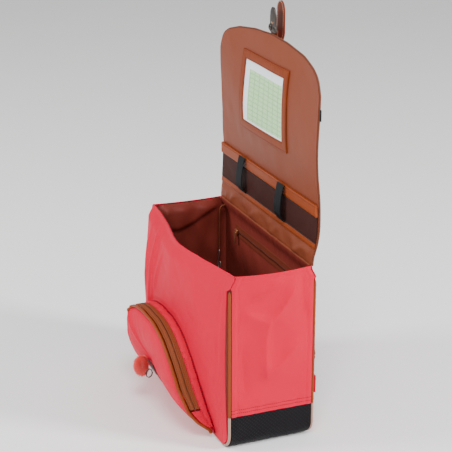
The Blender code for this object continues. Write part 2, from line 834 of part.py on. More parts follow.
def build_pocket_clasp(mats):
    """Webbing, plate and wire loop that take the flap's clasp, with the pompom beside them."""
    sideways = Vector((1, 0, 0))
    shift = Vector((CLASP_X, 0, 0))
    seat_gap = 3 * GAP
    stations = []
    count = 5
    for step in range(count + 1):
        point, _, out = face_frame(CLASP_HEIGHT - WEBBING_LENGTH * step / count)
        centre = point + shift + out * (seat_gap + WEBBING_THICKNESS / 2)
        stations.append((centre, sideways * WEBBING_WIDTH / 2, out * WEBBING_THICKNESS / 2))
    band("clasp_webbing", stations, mats["webbing"])
    point, up, out = face_frame(CLASP_HEIGHT)
    lift = seat_gap + WEBBING_THICKNESS + GAP + PLATE_THICKNESS / 2
    plate = point + shift + out * lift
    box("clasp_plate", plate, up * (PLATE_LENGTH / 2), sideways * (PLATE_WIDTH / 2),
        out * (PLATE_THICKNESS / 2), mats["metal"])
    foot = plate - up * LOOP_SEAT + out * (PLATE_THICKNESS / 2 + LOOP_WIRE + GAP)
    half = LOOP_WIDTH / 2 - LOOP_WIRE
    reach = (out * LOOP_OUT_SHARE - up * LOOP_DOWN_SHARE) * LOOP_REACH
    corners = [foot - sideways * half, foot - sideways * half + reach,
               foot + sideways * half + reach, foot + sideways * half]
    tube("clasp_loop", corners, LOOP_WIRE, mats["metal"], closed=True)
    build_pompom(plate, mats)


def build_pompom(plate, mats):
    """Yarn ball of short locks, pressed flat against the pocket, and the cord that ties it."""
    z = plate.z - POMPOM_DROP
    side = max(PLATE_WIDTH, LOOP_WIDTH) / 2 + 2 * GAP
    x = plate.x - side - POMPOM_WIDTH / 2
    reach_x, reach_z = POMPOM_WIDTH * POMPOM_SEAT_SHARE, POMPOM_HEIGHT * POMPOM_SEAT_SHARE
    spots = [(x + across * reach_x, z + up * reach_z)
             for across in (-1, 0, 1) for up in (-1, 0, 1)]
    face = min(pocket_face_y(*spot) for spot in spots) - GAP
    centre = Vector((x, face - POMPOM_THICKNESS / 2, z))
    bm = bmesh.new()
    bmesh.ops.create_icosphere(bm, subdivisions=2, radius=POMPOM_HEAD_SHARE)
    result = bmesh.ops.poke(bm, faces=bm.faces)
    for vert in result["verts"]:
        vert.co = vert.co.normalized()
    for vert in bm.verts:
        vert.co = Vector((vert.co.x * POMPOM_WIDTH / 2, vert.co.y * POMPOM_THICKNESS / 2,
                          vert.co.z * POMPOM_HEIGHT / 2)) + centre
    make_object("pompom", bm, mats["pompom"])
    radius = POMPOM_CORD_RADIUS
    low = centre + Vector((0, 0, POMPOM_HEIGHT / 2 * POMPOM_HEAD_SHARE + radius + GAP))
    end_x = plate.x - PLATE_WIDTH / 2 - GAP - radius
    end_z = plate.z + PLATE_LENGTH * 0.4
    top = max(low.z, end_z) + 4 * radius
    route = ((low.x + radius, (low.z + top) / 2), (low.x + (end_x - low.x) * 0.3, top),
             (low.x + (end_x - low.x) * 0.75, top - radius), (end_x, end_z))
    points = [Vector((x, pocket_face_y(x, z) - radius - 4 * GAP, z)) for x, z in route]
    points[0].y = (low.y + points[1].y) / 2
    points.insert(0, low)
    tube("pompom_cord", points, radius, mats["pompom"], resolution=1)


# Flap

def flap_y(x, rise):
    """Inner face of the flap at a height above the rim."""
    share = rise / FLAP_HEIGHT
    across = min(abs(x) / (FLAP_WIDTH / 2), 1.0)
    middle = soft_table(FLAP_SECTIONS, "height", share, "middle")
    edge = soft_table(FLAP_SECTIONS, "height", share, "edge")
    lean = middle + (edge - middle) * across * across
    hinge = half_depth(BODY_HEIGHT) - WALL - GAP - LINING_WALL
    return hinge + FLAP_LEAN * lean


def flap_half(rise):
    """Half the flap's width at a height above the rim."""
    return FLAP_WIDTH / 2 * soft_table(FLAP_SECTIONS, "height", rise / FLAP_HEIGHT, "width")


def flap_top(across):
    """Height of the flap's upper outline above the rim at a share across."""
    return FLAP_HEIGHT - FLAP_CORNER_DROP * read_table(FLAP_OUTLINE, "across", abs(across), "drop")


def flap_spread():
    """Shares across the flap, close together at its round corners."""
    steps = FLAP_COLUMNS // 4
    right = [FLAP_EDGE_SHARES[0] * step / steps for step in range(1, steps)]
    right += FLAP_EDGE_SHARES
    return [-share for share in reversed(right)] + [0.0] + right


def flap_point(across, up, inset, start=0.0):
    """Point of the flap's inner face at shares across and up its outline."""
    top = flap_top(across) - inset
    rise = start + (top - start) * up
    return Vector((across * (flap_half(rise) - inset), 0, rise))


def flap_sheet(name, offset, thickness, inset, mat):
    """Sheet of the flap at an offset behind its inner face."""
    outer, inner = [], []
    for row in range(FLAP_ROWS + 1):
        up = row / FLAP_ROWS
        near, far = [], []
        for across in flap_spread():
            point = flap_point(across, up, inset, 2 * GAP)
            y = flap_y(point.x, point.z) + offset
            near.append(Vector((point.x, y, BODY_HEIGHT + point.z)))
            far.append(Vector((point.x, y + thickness, BODY_HEIGHT + point.z)))
        outer.append(near)
        inner.append(far)
    return slab(name, outer, inner, mat)


def flap_back(x, rise):
    """Outer, rear face of the flap."""
    return flap_y(x, rise) + LINING_WALL + GAP + WALL


def build_flap(mats):
    """Flap's outer, its lining and the thin piping round its edge."""
    inset = 2 * FLAP_PIPING_RADIUS + GAP
    flap_sheet("flap_lining", 0.0, LINING_WALL, inset, mats["flap_lining"])
    flap_sheet("flap_outer", LINING_WALL + GAP, WALL, inset, mats["coral"])
    points = []
    middle = (LINING_WALL + GAP + WALL) / 2
    edge_rows = [step / FLAP_ROWS for step in range(FLAP_ROWS + 1)]
    spots = [(-1.0, up) for up in edge_rows]
    spots += [(across, 1.0) for across in flap_spread()[1:-1]]
    spots += [(1.0, up) for up in reversed(edge_rows)]
    for across, up in spots:
        point = flap_point(across, up, FLAP_PIPING_RADIUS, 2 * GAP)
        points.append(Vector((point.x, flap_y(point.x, point.z) + middle, BODY_HEIGHT + point.z)))
    tube("flap_piping", points, FLAP_PIPING_RADIUS, mats["mesh"], resolution=1)


def flap_strip(name, start, height, thickness, mat, slack=0.0, rows=2):
    """Strip across the flap's inner face."""
    outer, inner = [], []
    margin = 2 * FLAP_PIPING_RADIUS + 2 * GAP
    columns = 14
    for row in range(rows + 1):
        rise = start + height * row / rows
        near, far = [], []
        for column in range(columns + 1):
            across = 2 * column / columns - 1
            x = across * (flap_half(rise) - margin)
            bulge = slack * (1 - across ** 4) * row / rows
            y = flap_y(x, rise) - 1.8 * GAP - bulge
            near.append(Vector((x, y - thickness, BODY_HEIGHT + rise)))
            far.append(Vector((x, y, BODY_HEIGHT + rise)))
        outer.append(near)
        inner.append(far)
    return slab(name, outer, inner, mat)


def build_mesh_pocket(mats):
    """Shallow mesh pocket on the flap, with its hem strip, binding and two elastics."""
    flap_strip("hem_strip", HEM_STRIP_FROM, HEM_STRIP_HEIGHT, TRIM_THICKNESS, mats["cognac"])
    mesh_from = HEM_STRIP_FROM + HEM_STRIP_HEIGHT + GAP
    flap_strip("mesh_pocket", mesh_from, MESH_HEIGHT, TRIM_THICKNESS, mats["mesh"],
               slack=MESH_SLACK, rows=3)
    binding_from = mesh_from + MESH_HEIGHT + GAP
    flap_strip("mesh_binding", binding_from, BINDING_HEIGHT, TRIM_THICKNESS + MESH_SLACK,
               mats["cognac"])
    for name, x in (("elastic_left", ELASTIC_LEFT_X), ("elastic_right", ELASTIC_RIGHT_X)):
        build_elastic(name, x, mesh_from, binding_from + BINDING_HEIGHT, mats)


def build_elastic(name, x, low, high, mats):
    """Elastic loop that stands off the mesh pocket."""
    stations = []
    count = 12
    for step in range(count + 1):
        part = step / count
        rise = high - (high - low) * part
        slack = MESH_SLACK * smooth((1 - part) * 4) if part > 0.5 else MESH_SLACK
        ease = math.sin(math.pi * part) ** ELASTIC_ROUND
        ease *= ELASTIC_TOP_SHARE + (1 - ELASTIC_TOP_SHARE) * part
        stand = (TRIM_THICKNESS + slack + ELASTIC_SEAT + ELASTIC_THICKNESS / 2
                 + ELASTIC_BULGE * ease)
        centre = Vector((x, flap_y(x, rise) - stand, BODY_HEIGHT + rise))
        stations.append(centre)
    bands = []
    for place, centre in enumerate(stations):
        before = stations[max(place - 1, 0)]
        after = stations[min(place + 1, count)]
        along = (after - before).normalized()
        out = Vector((1, 0, 0)).cross(along).normalized()
        bands.append((centre, Vector((ELASTIC_WIDTH / 2, 0, 0)), out * (ELASTIC_THICKNESS / 2)))
    band(name, bands, mats["elastic"])


def flap_patch(name, half, low, high, front, thickness, mat, columns=6, rows=4):
    """Rectangular patch that follows the flap's inner face."""
    outer, inner = [], []
    for row in range(rows + 1):
        rise = low + (high - low) * row / rows
        xs = [half * (2 * column / columns - 1) for column in range(columns + 1)]
        outer.append([Vector((x, flap_y(x, rise) - front, BODY_HEIGHT + rise)) for x in xs])
        inner.append([Vector((x, flap_y(x, rise) - front + thickness, BODY_HEIGHT + rise))
                      for x in xs])
    return slab(name, outer, inner, mat)


def build_window(mats):
    """Window frame with a clear film over a timetable card."""
    half, low, high = WINDOW_WIDTH / 2, WINDOW_FROM, WINDOW_FROM + WINDOW_HEIGHT
    inner_half, inner_low, inner_high = half - FRAME_BORDER, low + FRAME_BORDER, high - FRAME_BORDER
    spots = []
    columns, rows = 6, 4
    sides = (((-1, -1), (1, -1), columns), ((1, -1), (1, 1), rows),
             ((1, 1), (-1, 1), columns), ((-1, 1), (-1, -1), rows))
    for start, end, count in sides:
        for step in range(count):
            part = step / count
            spots.append((start[0] + (end[0] - start[0]) * part,
                          start[1] + (end[1] - start[1]) * part))
    middle, outer_rise, inner_rise = (low + high) / 2, WINDOW_HEIGHT / 2, (inner_high - inner_low) / 2
    rings = []
    for across, up in spots:
        ring = []
        for reach_x, reach_z, front in ((half, outer_rise, 0.0), (half, outer_rise, FRAME_THICKNESS),
                                        (inner_half, inner_rise, FRAME_THICKNESS),
                                        (inner_half, inner_rise, 0.0)):
            x, rise = across * reach_x, middle + up * reach_z
            ring.append(Vector((x, flap_y(x, rise) - 1.5 * GAP - front, BODY_HEIGHT + rise)))
        rings.append(ring)
    loft("window_frame", rings, mats["leather"], closed=True)
    card_front = 1.5 * GAP + CARD_THICKNESS
    flap_patch("timetable_card", inner_half - GAP, inner_low + GAP, inner_high - GAP,
               card_front, CARD_THICKNESS, mats["card"])
    flap_patch("window_film", inner_half - GAP, inner_low + GAP, inner_high - GAP,
               card_front + GAP + FILM_THICKNESS, FILM_THICKNESS, mats["film"])


def build_edge_tab(mats):
    """Small blank tab at the flap's right edge."""
    rise = TAB_AT
    edge = flap_half(rise) + GAP
    y = flap_y(edge, rise) + (LINING_WALL + GAP + WALL) / 2
    centre = Vector((edge + TAB_WIDTH / 4, y, BODY_HEIGHT + rise))
    box("edge_tab", centre, Vector((0, 0, TAB_HEIGHT / 2)), Vector((TAB_WIDTH / 4, 0, 0)),
        Vector((0, TRIM_THICKNESS / 2, 0)), mats["elastic"])


def pointed(distance, width, point_length):
    """Half width of a strap at a distance from its pointed end."""
    share = min(distance / point_length, 1.0)
    return width / 2 * max(math.sqrt(1 - (1 - share) ** 2), 0.12)


def build_closing_strap(mats):
    """Leather closing strap on the flap's outer face, its tail free above the flap."""
    sideways = Vector((1, 0, 0))
    length = STRAP_ON_FLAP + STRAP_TAIL
    distances = [length * step / 12 for step in range(11)]
    distances += [length - row for row in STRAP_POINT_ROWS]
    stations = []
    for distance in distances:
        rise = FLAP_HEIGHT - STRAP_ON_FLAP + distance
        sewn = STRAP_ON_FLAP * STRAP_SEWN_SHARE
        free = smooth((distance - sewn) / (STRAP_ON_FLAP - sewn))
        seat = flap_back(0, min(rise, FLAP_HEIGHT))
        y = seat + 2 * GAP + STRAP_THICKNESS / 2 + STRAP_STANDOFF * free
        half = pointed(length - distance, STRAP_WIDTH, STRAP_POINT)
        stations.append((Vector((0, y, BODY_HEIGHT + rise)), sideways * half,
                         Vector((0, STRAP_THICKNESS / 2, 0))))
    band("closing_strap", stations, mats["leather"])


def build_clasp_tongue(mats):
    """Metal clasp tongue on a short leather tab at the flap's top."""
    seat = flap_back(0, FLAP_HEIGHT) + 2 * GAP
    tab_top = FLAP_HEIGHT + CLASP_TAB_RISE
    tab_low = tab_top - CLASP_TAB_LENGTH
    stations = []
    for step in range(5):
        rise = tab_low + CLASP_TAB_LENGTH * step / 4
        y = flap_back(0, min(rise, FLAP_HEIGHT)) + 2 * GAP + WALL / 2
        stations.append((Vector((0, y, BODY_HEIGHT + rise)), Vector((CLASP_TAB_WIDTH / 2, 0, 0)),
                         Vector((0, WALL / 2, 0))))
    band("clasp_tab", stations, mats["leather"])
    base = FLAP_HEIGHT + 2 * GAP
    y = seat - GAP - TONGUE_THICKNESS / 2
    bm = bmesh.new()
    outline = [(TONGUE_WIDTH / 2 * row.width, row.height) for row in TONGUE_SECTIONS]
    loops = []
    for shift in (-TONGUE_THICKNESS / 2, TONGUE_THICKNESS / 2):
        ring = [Vector((x, y + shift, BODY_HEIGHT + base + TONGUE_LENGTH * share))
                for x, share in outline]
        ring += [Vector((-point.x, point.y, point.z)) for point in reversed(ring)]
        loops.append([bm.verts.new(point) for point in ring])
    bm.faces.new(loops[0])
    bm.faces.new(loops[1])
    for step in range(len(loops[0])):
        after = (step + 1) % len(loops[0])
        bm.faces.new((loops[0][step], loops[0][after], loops[1][after], loops[1][step]))
    make_object("clasp_tongue", bm, mats["metal"])


# Inside

def back_lining_y(height):
    """Inner face of the lining on the bag's back."""
    return half_depth(height) - WALL - GAP - LINING_WALL


def build_inner_zip(mats):
    """Zip of the inner pocket on the back lining."""
    z = BODY_HEIGHT - INNER_ZIP_DROP
    y = back_lining_y(z) - 2 * GAP - TRIM_THICKNESS / 2
    half = INNER_ZIP_LENGTH / 2
    box("inner_zip_tape", Vector((0, y, z)), Vector((half, 0, 0)), Vector((0, 0, INNER_ZIP_WIDTH / 2)),
        Vector((0, TRIM_THICKNESS / 2, 0)), mats["cognac"])
    x = -half + SLIDER_LENGTH
    slider_y = y - TRIM_THICKNESS / 2 - GAP - SLIDER_HEIGHT / 2
    box("inner_zip_slider", Vector((x, slider_y, z)), Vector((SLIDER_LENGTH / 2, 0, 0)),
        Vector((0, 0, SLIDER_WIDTH / 2)), Vector((0, SLIDER_HEIGHT / 2, 0)), mats["metal"])
    pull_y = slider_y - SLIDER_HEIGHT / 2 - GAP - PULL_THICKNESS / 2
    pull_z = z - INNER_PULL_LENGTH / 2
    box("inner_zip_pull", Vector((x, pull_y, pull_z)), Vector((0, 0, INNER_PULL_LENGTH / 2)),
        Vector((PULL_WIDTH / 2, 0, 0)), Vector((0, PULL_THICKNESS / 2, 0)), mats["metal"])


def build_key_cord(mats):
    """Key cord in the back left corner, with its hook."""
    low_edge = BODY_HEIGHT - CORD_ROUTE[0][2] + CORD_DIAMETER / 2
    back = back_lining_y(low_edge) - 2 * GAP
    left = -BODY_WIDTH / 2
    points = [Vector((left + x, back - y, BODY_HEIGHT - z)) for x, y, z in CORD_ROUTE]
    tube("key_cord", points, CORD_DIAMETER / 2, mats["cognac"])
    end = points[-1]
    half_wire = HOOK_THICKNESS / 2
    top = end.z - GAP
    centre_x = end.x
    radius = HOOK_WIDTH / 2 - half_wire
    eye = Vector((centre_x, end.y, top))
    tip_z = top - HOOK_LENGTH + radius + half_wire
    points = [eye, Vector((centre_x, end.y, top - HOOK_SHANK))]
    shoulder = Vector((centre_x - radius, end.y, top - HOOK_SHOULDER))
    points.append(shoulder)
    for step in range(7):
        angle = math.pi + math.pi * step / 6
        points.append(Vector((centre_x + radius * math.cos(angle), end.y,
                              tip_z + radius * math.sin(angle))))
    points.append(Vector((centre_x + radius, end.y, top - HOOK_TIP)))
    tube("key_hook", points, half_wire, mats["metal"])


# Back

def build_back_pad(mats):
    """Padded panel on the bag's back."""
    rows, columns = 8, 8
    outer, inner = [], []
    for row in range(rows + 1):
        up = row / rows
        z = PAD_FOOT + PAD_HEIGHT * up
        face = half_depth(z) + GAP
        near, far = [], []
        for column in range(columns + 1):
            across = 2 * column / columns - 1
            crown = (1 - across ** PAD_SQUARENESS) * (1 - (2 * up - 1) ** PAD_SQUARENESS)
            depth = PAD_EDGE_SHARE + (1 - PAD_EDGE_SHARE) * crown ** 0.5
            x = across * PAD_WIDTH / 2
            near.append(Vector((x, face + PAD_THICKNESS * depth, z)))
            far.append(Vector((x, face, z)))
        outer.append(near)
        inner.append(far)
    slab("back_pad", outer, inner, mats["base"])


def shoulder_stations(side):
    """Centres of a shoulder strap from its top to its foot."""
    top_z = BODY_HEIGHT - SHOULDER_TOP_DROP
    lift = PAD_THICKNESS + SHOULDER_CLEARANCE
    stations = []
    shares = list(SHOULDER_TOP_SHARES) + [step / 10 for step in range(3, 11)]
    arc = (top_z - PAD_FOOT - PAD_HEIGHT) / (top_z - SHOULDER_FOOT_HEIGHT)
    for part in shares:
        z = top_z + (SHOULDER_FOOT_HEIGHT - top_z) * part
        x = SHOULDER_TOP_X + (SHOULDER_FOOT_X - SHOULDER_TOP_X) * part ** SHOULDER_SWEEP
        rise = smooth(part / arc)
        y = half_depth(z) + GAP + SHOULDER_THICKNESS / 2 + lift * rise
        stations.append(Vector((side * x, y, z)))
    return stations


def build_shoulder_strap(side, hand, mats):
    """Padded shoulder strap with its webbing, adjuster and coral anchor tab."""
    centres = shoulder_stations(side)
    bands = []
    for place, centre in enumerate(centres):
        before = centres[max(place - 1, 0)]
        after = centres[min(place + 1, len(centres) - 1)]
        along = (after - before).normalized()
        across = along.cross(Vector((0, 1, 0))).normalized()
        out = across.cross(along).normalized()
        share = place / (len(centres) - 1)
        taper = smooth((share - 1 + SHOULDER_TAPER_SHARE) / SHOULDER_TAPER_SHARE)
        half = SHOULDER_WIDTH / 2 * (1 - SHOULDER_TAPER * taper)
        bands.append((centre, across * half, out * (SHOULDER_THICKNESS / 2)))
    band("shoulder_strap_%s" % hand, bands, mats["base"])
    foot = centres[-1]
    along = (centres[-1] - centres[-2]).normalized()
    anchor_x = BODY_WIDTH / 2 - ANCHOR_LENGTH / 2
    face = half_depth(ANCHOR_HEIGHT) + GAP
    anchor = Vector((side * anchor_x, face + WALL / 2, ANCHOR_HEIGHT))
    box("strap_anchor_%s" % hand, anchor, Vector((side * ANCHOR_LENGTH / 2, 0, 0)),
        Vector((0, 0, ANCHOR_WIDTH / 2)), Vector((0, WALL / 2, 0)), mats["coral"])
    half_adjuster = ADJUSTER_LENGTH / 2
    adjuster = foot + along * (half_adjuster + GAP)
    across = along.cross(Vector((0, 1, 0))).normalized()
    out = across.cross(along).normalized()
    box("strap_adjuster_%s" % hand, adjuster, along * half_adjuster,
        across * (BACK_WEBBING_WIDTH / 2 + ADJUSTER_BORDER), out * (ADJUSTER_THICKNESS / 2),
        mats["elastic"])
    start = adjuster + along * (half_adjuster + GAP)
    end = Vector((side * (BODY_WIDTH / 2 - ANCHOR_LENGTH * 0.75), face + WALL + GAP
                  + WEBBING_THICKNESS / 2, ANCHOR_HEIGHT))
    lead = start + along * ((end - start).length * 0.45)
    stations = []
    for step in range(8):
        part = step / 7
        centre = start.lerp(lead, part).lerp(lead.lerp(end, part), part)
        centre.y = start.y + (end.y - start.y) * smooth(part)
        heading = (start.lerp(lead, part) - lead.lerp(end, part)).normalized()
        across = heading.cross(Vector((0, 1, 0))).normalized()
        stations.append((centre, across * (BACK_WEBBING_WIDTH / 2),
                         Vector((0, WEBBING_THICKNESS / 2, 0))))
    band("strap_webbing_%s" % hand, stations, mats["webbing"])


def build_handle(mats):
    """Webbing carry handle at the top of the back."""
    z = BODY_HEIGHT - HANDLE_DROP
    seat = half_depth(z - HANDLE_WIDTH / 2) + GAP + WEBBING_THICKNESS / 2
    stations = []
    count = 16
    for step in range(count + 1):
        x = HANDLE_SPAN * (step / count - 0.5)
        rise = smooth((HANDLE_SPAN / 2 - HANDLE_END - abs(x)) / HANDLE_REACH)
        stations.append(Vector((x, seat + HANDLE_REACH * rise, z)))
    bands = []
    for place, centre in enumerate(stations):
        before = stations[max(place - 1, 0)]
        after = stations[min(place + 1, count)]
        along = (after - before).normalized()
        out = along.cross(Vector((0, 0, 1))).normalized()
        bands.append((centre, Vector((0, 0, HANDLE_WIDTH / 2)), out * (WEBBING_THICKNESS / 2)))
    band("carry_handle", bands, mats["webbing"])


def main():
    """Build the whole bag."""
    clear_scene()
    mats = make_materials()
    build_front_panel(mats)
    build_back_panel(mats)
    build_sides(mats)
    build_base(mats)
    build_lining(mats)
    build_seam_piping(mats)
    build_pocket_gusset(mats)
    build_pocket_piping(mats)
    build_pocket_front(mats)
    build_pocket_slider(mats)
    build_pocket_clasp(mats)
    build_flap(mats)
    build_mesh_pocket(mats)
    build_window(mats)
    build_edge_tab(mats)
    build_closing_strap(mats)
    build_clasp_tongue(mats)
    build_inner_zip(mats)
    build_key_cord(mats)
    build_back_pad(mats)
    for side, hand in ((-1, "left"), (1, "right")):
        build_shoulder_strap(side, hand, mats)
    build_handle(mats)


main()
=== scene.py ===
"""Looks of a school ransel, a coral children's satchel that stands with its flap open.

Metres, +Z up. The front of the bag faces -Y, and it stands on Z = 0.
"""
import math
from collections import namedtuple
from contextlib import contextmanager

import bmesh
import bpy
import numpy as np
from bpy.props import FloatProperty, IntProperty, PointerProperty, StringProperty
from mathutils import Matrix, Vector


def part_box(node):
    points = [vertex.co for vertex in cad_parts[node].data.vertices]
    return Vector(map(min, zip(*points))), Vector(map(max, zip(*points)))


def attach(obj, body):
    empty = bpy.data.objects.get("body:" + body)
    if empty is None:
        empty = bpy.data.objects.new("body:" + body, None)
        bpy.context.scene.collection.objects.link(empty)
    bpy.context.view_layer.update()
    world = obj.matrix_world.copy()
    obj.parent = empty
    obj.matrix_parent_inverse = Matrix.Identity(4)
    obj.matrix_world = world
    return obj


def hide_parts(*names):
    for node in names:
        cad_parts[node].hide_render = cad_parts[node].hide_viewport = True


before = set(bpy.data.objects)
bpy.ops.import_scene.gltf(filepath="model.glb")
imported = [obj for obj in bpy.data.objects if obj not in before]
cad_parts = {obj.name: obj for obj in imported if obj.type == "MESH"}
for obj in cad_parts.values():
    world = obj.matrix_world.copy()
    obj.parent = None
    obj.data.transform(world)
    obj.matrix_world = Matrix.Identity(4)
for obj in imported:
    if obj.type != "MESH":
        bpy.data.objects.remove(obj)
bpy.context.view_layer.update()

bl_info = {
    "name": "School ransel looks",
    "version": (1, 0, 0),
    "blender": (4, 5, 0),
    "location": "3D View > Sidebar > Ransel",
    "description": "Dresses the ransel's solids in sewn cloth, trim and metal",
    "category": "Object",
}

BODY = "root"
SEED = 7
SIDES = (("left", -1), ("right", 1))
MERGE_DISTANCE = 0.00002
SHARP_ANGLE = math.radians(48)

# Body, with its main sizes read from the solids
BODY_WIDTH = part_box("base")[1][0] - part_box("base")[0][0]
BODY_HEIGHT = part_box("front_panel")[1][2]
BODY_DEPTH = 2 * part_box("back_panel")[1][1]
RIM_PINCH = 0.009
PINCH_HEIGHT = 0.023
CORNER_RADIUS = 0.030
BASE_HEIGHT = 0.061
WALL = 0.0022
CLOTH = 0.0014
BASE_WALL = 0.0030
LINING_WALL = 0.0010
GAP = 0.0004
FRONT_BULGE = 0.034
SIDE_BOW = 0.008
PIPING_RADIUS = 0.0024
PIPING_ROOM = 2 * PIPING_RADIUS + GAP
PIPING_DROP = 0.023
SEAM_BLEND = 0.005
PANEL_SQUARENESS = 5
SIDE_RIM_RADIUS = 0.0011
FRONT_RIM_RADIUS = 0.0015
BASE_ROWS = (0.0062, 0.0118)
THREAD_LIFT = 0.0001

# Front pocket
POCKET_WIDTH = 0.272
POCKET_HEIGHT = 0.168
POCKET_FOOT = 0.010
POCKET_DEPTH = 0.039
POCKET_CROWN = 0.025
POCKET_SQUARENESS = 2.7
POCKET_GAP = 1.5 * GAP
ZIP_SHARE = 0.58
GUSSET_FOOT_RISE = 0.012
POCKET_MIDDLE_DEPTH = 0.012
ZIP_END_HEIGHT = 0.046
GUSSET_STEP = 0.0016

# Flap
FLAP_WIDTH = 0.398
FLAP_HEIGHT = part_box("flap_piping")[1][2] - BODY_HEIGHT
FLAP_CORNER_DROP = 0.057
FLAP_LEAN = 0.010
FLAP_PIPING_RADIUS = 0.0013
FLAP_DEPTH = LINING_WALL + GAP + WALL
STRIP_GAP = 1.8 * GAP
WINDOW_GAP = 1.5 * GAP
HEM_STRIP_FROM = 0.029
HEM_STRIP_HEIGHT = 0.009
MESH_HEIGHT = 0.043
MESH_SLACK = 0.0030
BINDING_HEIGHT = 0.019
TRIM_THICKNESS = 0.0012
ELASTIC_WIDTH = 0.026
ELASTIC_THICKNESS = 0.0016
ELASTIC_BULGE = 0.0095
ELASTIC_LEFT_X = -0.092
ELASTIC_RIGHT_X = 0.070
STRIP_SHARES = np.linspace(-1, 1, 120)
WINDOW_WIDTH = 0.186
WINDOW_HEIGHT = 0.133
WINDOW_FROM = 0.1575
FRAME_BORDER = 0.0145
FRAME_THICKNESS = 0.0024
WINDOW_SHARES = np.linspace(0, 1, 60, endpoint=False)
# Share of the frame's border inwards, and height as a share of its thickness
FRAME_PROFILE = ((0.0, 0.0), (0.0, 0.6), (0.02, 0.92), (0.06, 1.0), (0.13, 0.94), (0.25, 1.0), (0.45, 1.06),
                 (0.65, 1.04), (0.80, 0.98), (0.88, 0.90), (0.95, 1.0), (0.99, 0.8), (1.0, 0.5), (1.0, 0.0))
CARD_THICKNESS = 0.0005
FILM_THICKNESS = 0.0005
STRAP_WIDTH = 0.030
STRAP_THICKNESS = 0.0030
STRAP_ON_FLAP = 0.165
STRAP_TAIL = 0.052
STRAP_STANDOFF = 0.011

# Back and inside
INNER_ZIP_LENGTH = 0.266
INNER_ZIP_WIDTH = 0.022
INNER_ZIP_DROP = 0.046
PAD_WIDTH = 0.298
PAD_HEIGHT = 0.212
PAD_FOOT = 0.035
PAD_THICKNESS = 0.011
PAD_SHRINK = 0.985
BINDING_RADIUS = 0.0024
SHOULDER_WIDTH = 0.055
SHOULDER_THICKNESS = 0.0065
SHOULDER_TOP_DROP = 0.030
SHOULDER_TOP_X = 0.052
SHOULDER_FOOT_X = 0.112
SHOULDER_FOOT_HEIGHT = 0.125
SHOULDER_CLEARANCE = 0.013
BACK_WEBBING_WIDTH = 0.025
WEBBING_THICKNESS = 0.0018
ADJUSTER_LENGTH = 0.018
ADJUSTER_BORDER = 0.003
ADJUSTER_BAR = 0.0016
ANCHOR_HEIGHT = 0.094
ANCHOR_WIDTH = 0.030
ANCHOR_LENGTH = 0.036
SEWN_INSET = 0.004
HANDLE_WIDTH = 0.018
HANDLE_SPAN = 0.124
HANDLE_REACH = 0.026
HANDLE_END = 0.014
HANDLE_DROP = 0.011

# The key cord's route: in from the bag's left side, off the back lining, below the rim
CORD_DIAMETER = 0.003
CORD_ROUTE = (
    (0.0220, 0.0000, 0.0100),
    (0.0220, 0.0030, 0.0101),
    (0.0220, 0.0060, 0.0108),
    (0.0220, 0.0085, 0.0126),
    (0.0220, 0.0102, 0.0156),
    (0.0219, 0.0110, 0.0195),
    (0.0217, 0.0113, 0.0250),
    (0.0214, 0.0114, 0.0330),
    (0.0210, 0.0114, 0.0420),
    (0.0206, 0.0114, 0.0510),
    (0.0203, 0.0114, 0.0600),
    (0.0201, 0.0114, 0.0690),
    (0.0200, 0.0114, 0.0780),
    (0.0200, 0.0114, 0.0860),
    (0.0200, 0.0114, 0.0930),
)


def table(columns, *rows):
    """Rows of a table with named columns."""
    row = namedtuple("Row", columns)
    return [row(*values) for values in rows]


# Shapes, as shares of the sizes above
FRONT_SECTIONS = table(
    "height fullness rim",
    (0.00, 0.00, 0.00),
    (0.13, 0.34, 0.00),
    (0.24, 0.65, 0.00),
    (0.38, 0.90, 0.00),
    (0.55, 1.00, 0.00),
    (0.80, 1.00, 0.35),
    (1.00, 0.84, 1.00),
)
RIM_SECTIONS = table(
    "across bow",
    (-1.00, 0.00),
    (-0.75, 0.12),
    (-0.45, 0.40),
    (-0.03, 0.95),
    (0.15, 1.00),
    (0.55, 0.57),
    (0.80, 0.23),
    (1.00, 0.00),
)
SIDE_SECTIONS = table(
    "height right left",
    (0.00, 0.00, 0.00),
    (0.20, 0.00, 0.00),
    (0.45, 0.35, 0.30),
    (0.70, 0.30, -0.60),
    (0.88, 0.60, -1.00),
    (1.00, 1.00, -0.55),
)
POCKET_SECTIONS = table(
    "height depth",
    (0.00, 0.14),
    (0.06, 0.34),
    (0.13, 0.64),
    (0.25, 0.88),
    (0.50, 1.00),
    (1.00, 1.00),
)
FLAP_SECTIONS = table(
    "height middle edge width",
    (0.00, 0.00, 0.00, 0.955),
    (0.06, 0.45, 0.45, 0.975),
    (0.15, 0.95, 0.95, 1.000),
    (0.27, 1.05, 1.00, 0.996),
    (0.37, 0.60, 0.85, 0.990),
    (0.47, 0.05, 0.65, 0.980),
    (0.56, -0.15, 0.50, 0.980),
    (0.70, 0.00, 0.45, 0.995),
    (0.85, 0.40, 0.50, 1.000),
    (1.00, 1.40, 0.70, 1.000),
)
FLAP_OUTLINE = table(
    "across drop",
    (0.00, 0.00),
    (0.32, 0.05),
    (0.65, 0.19),
    (0.84, 0.36),
    (0.92, 0.50),
    (0.97, 0.68),
    (1.00, 1.00),
)

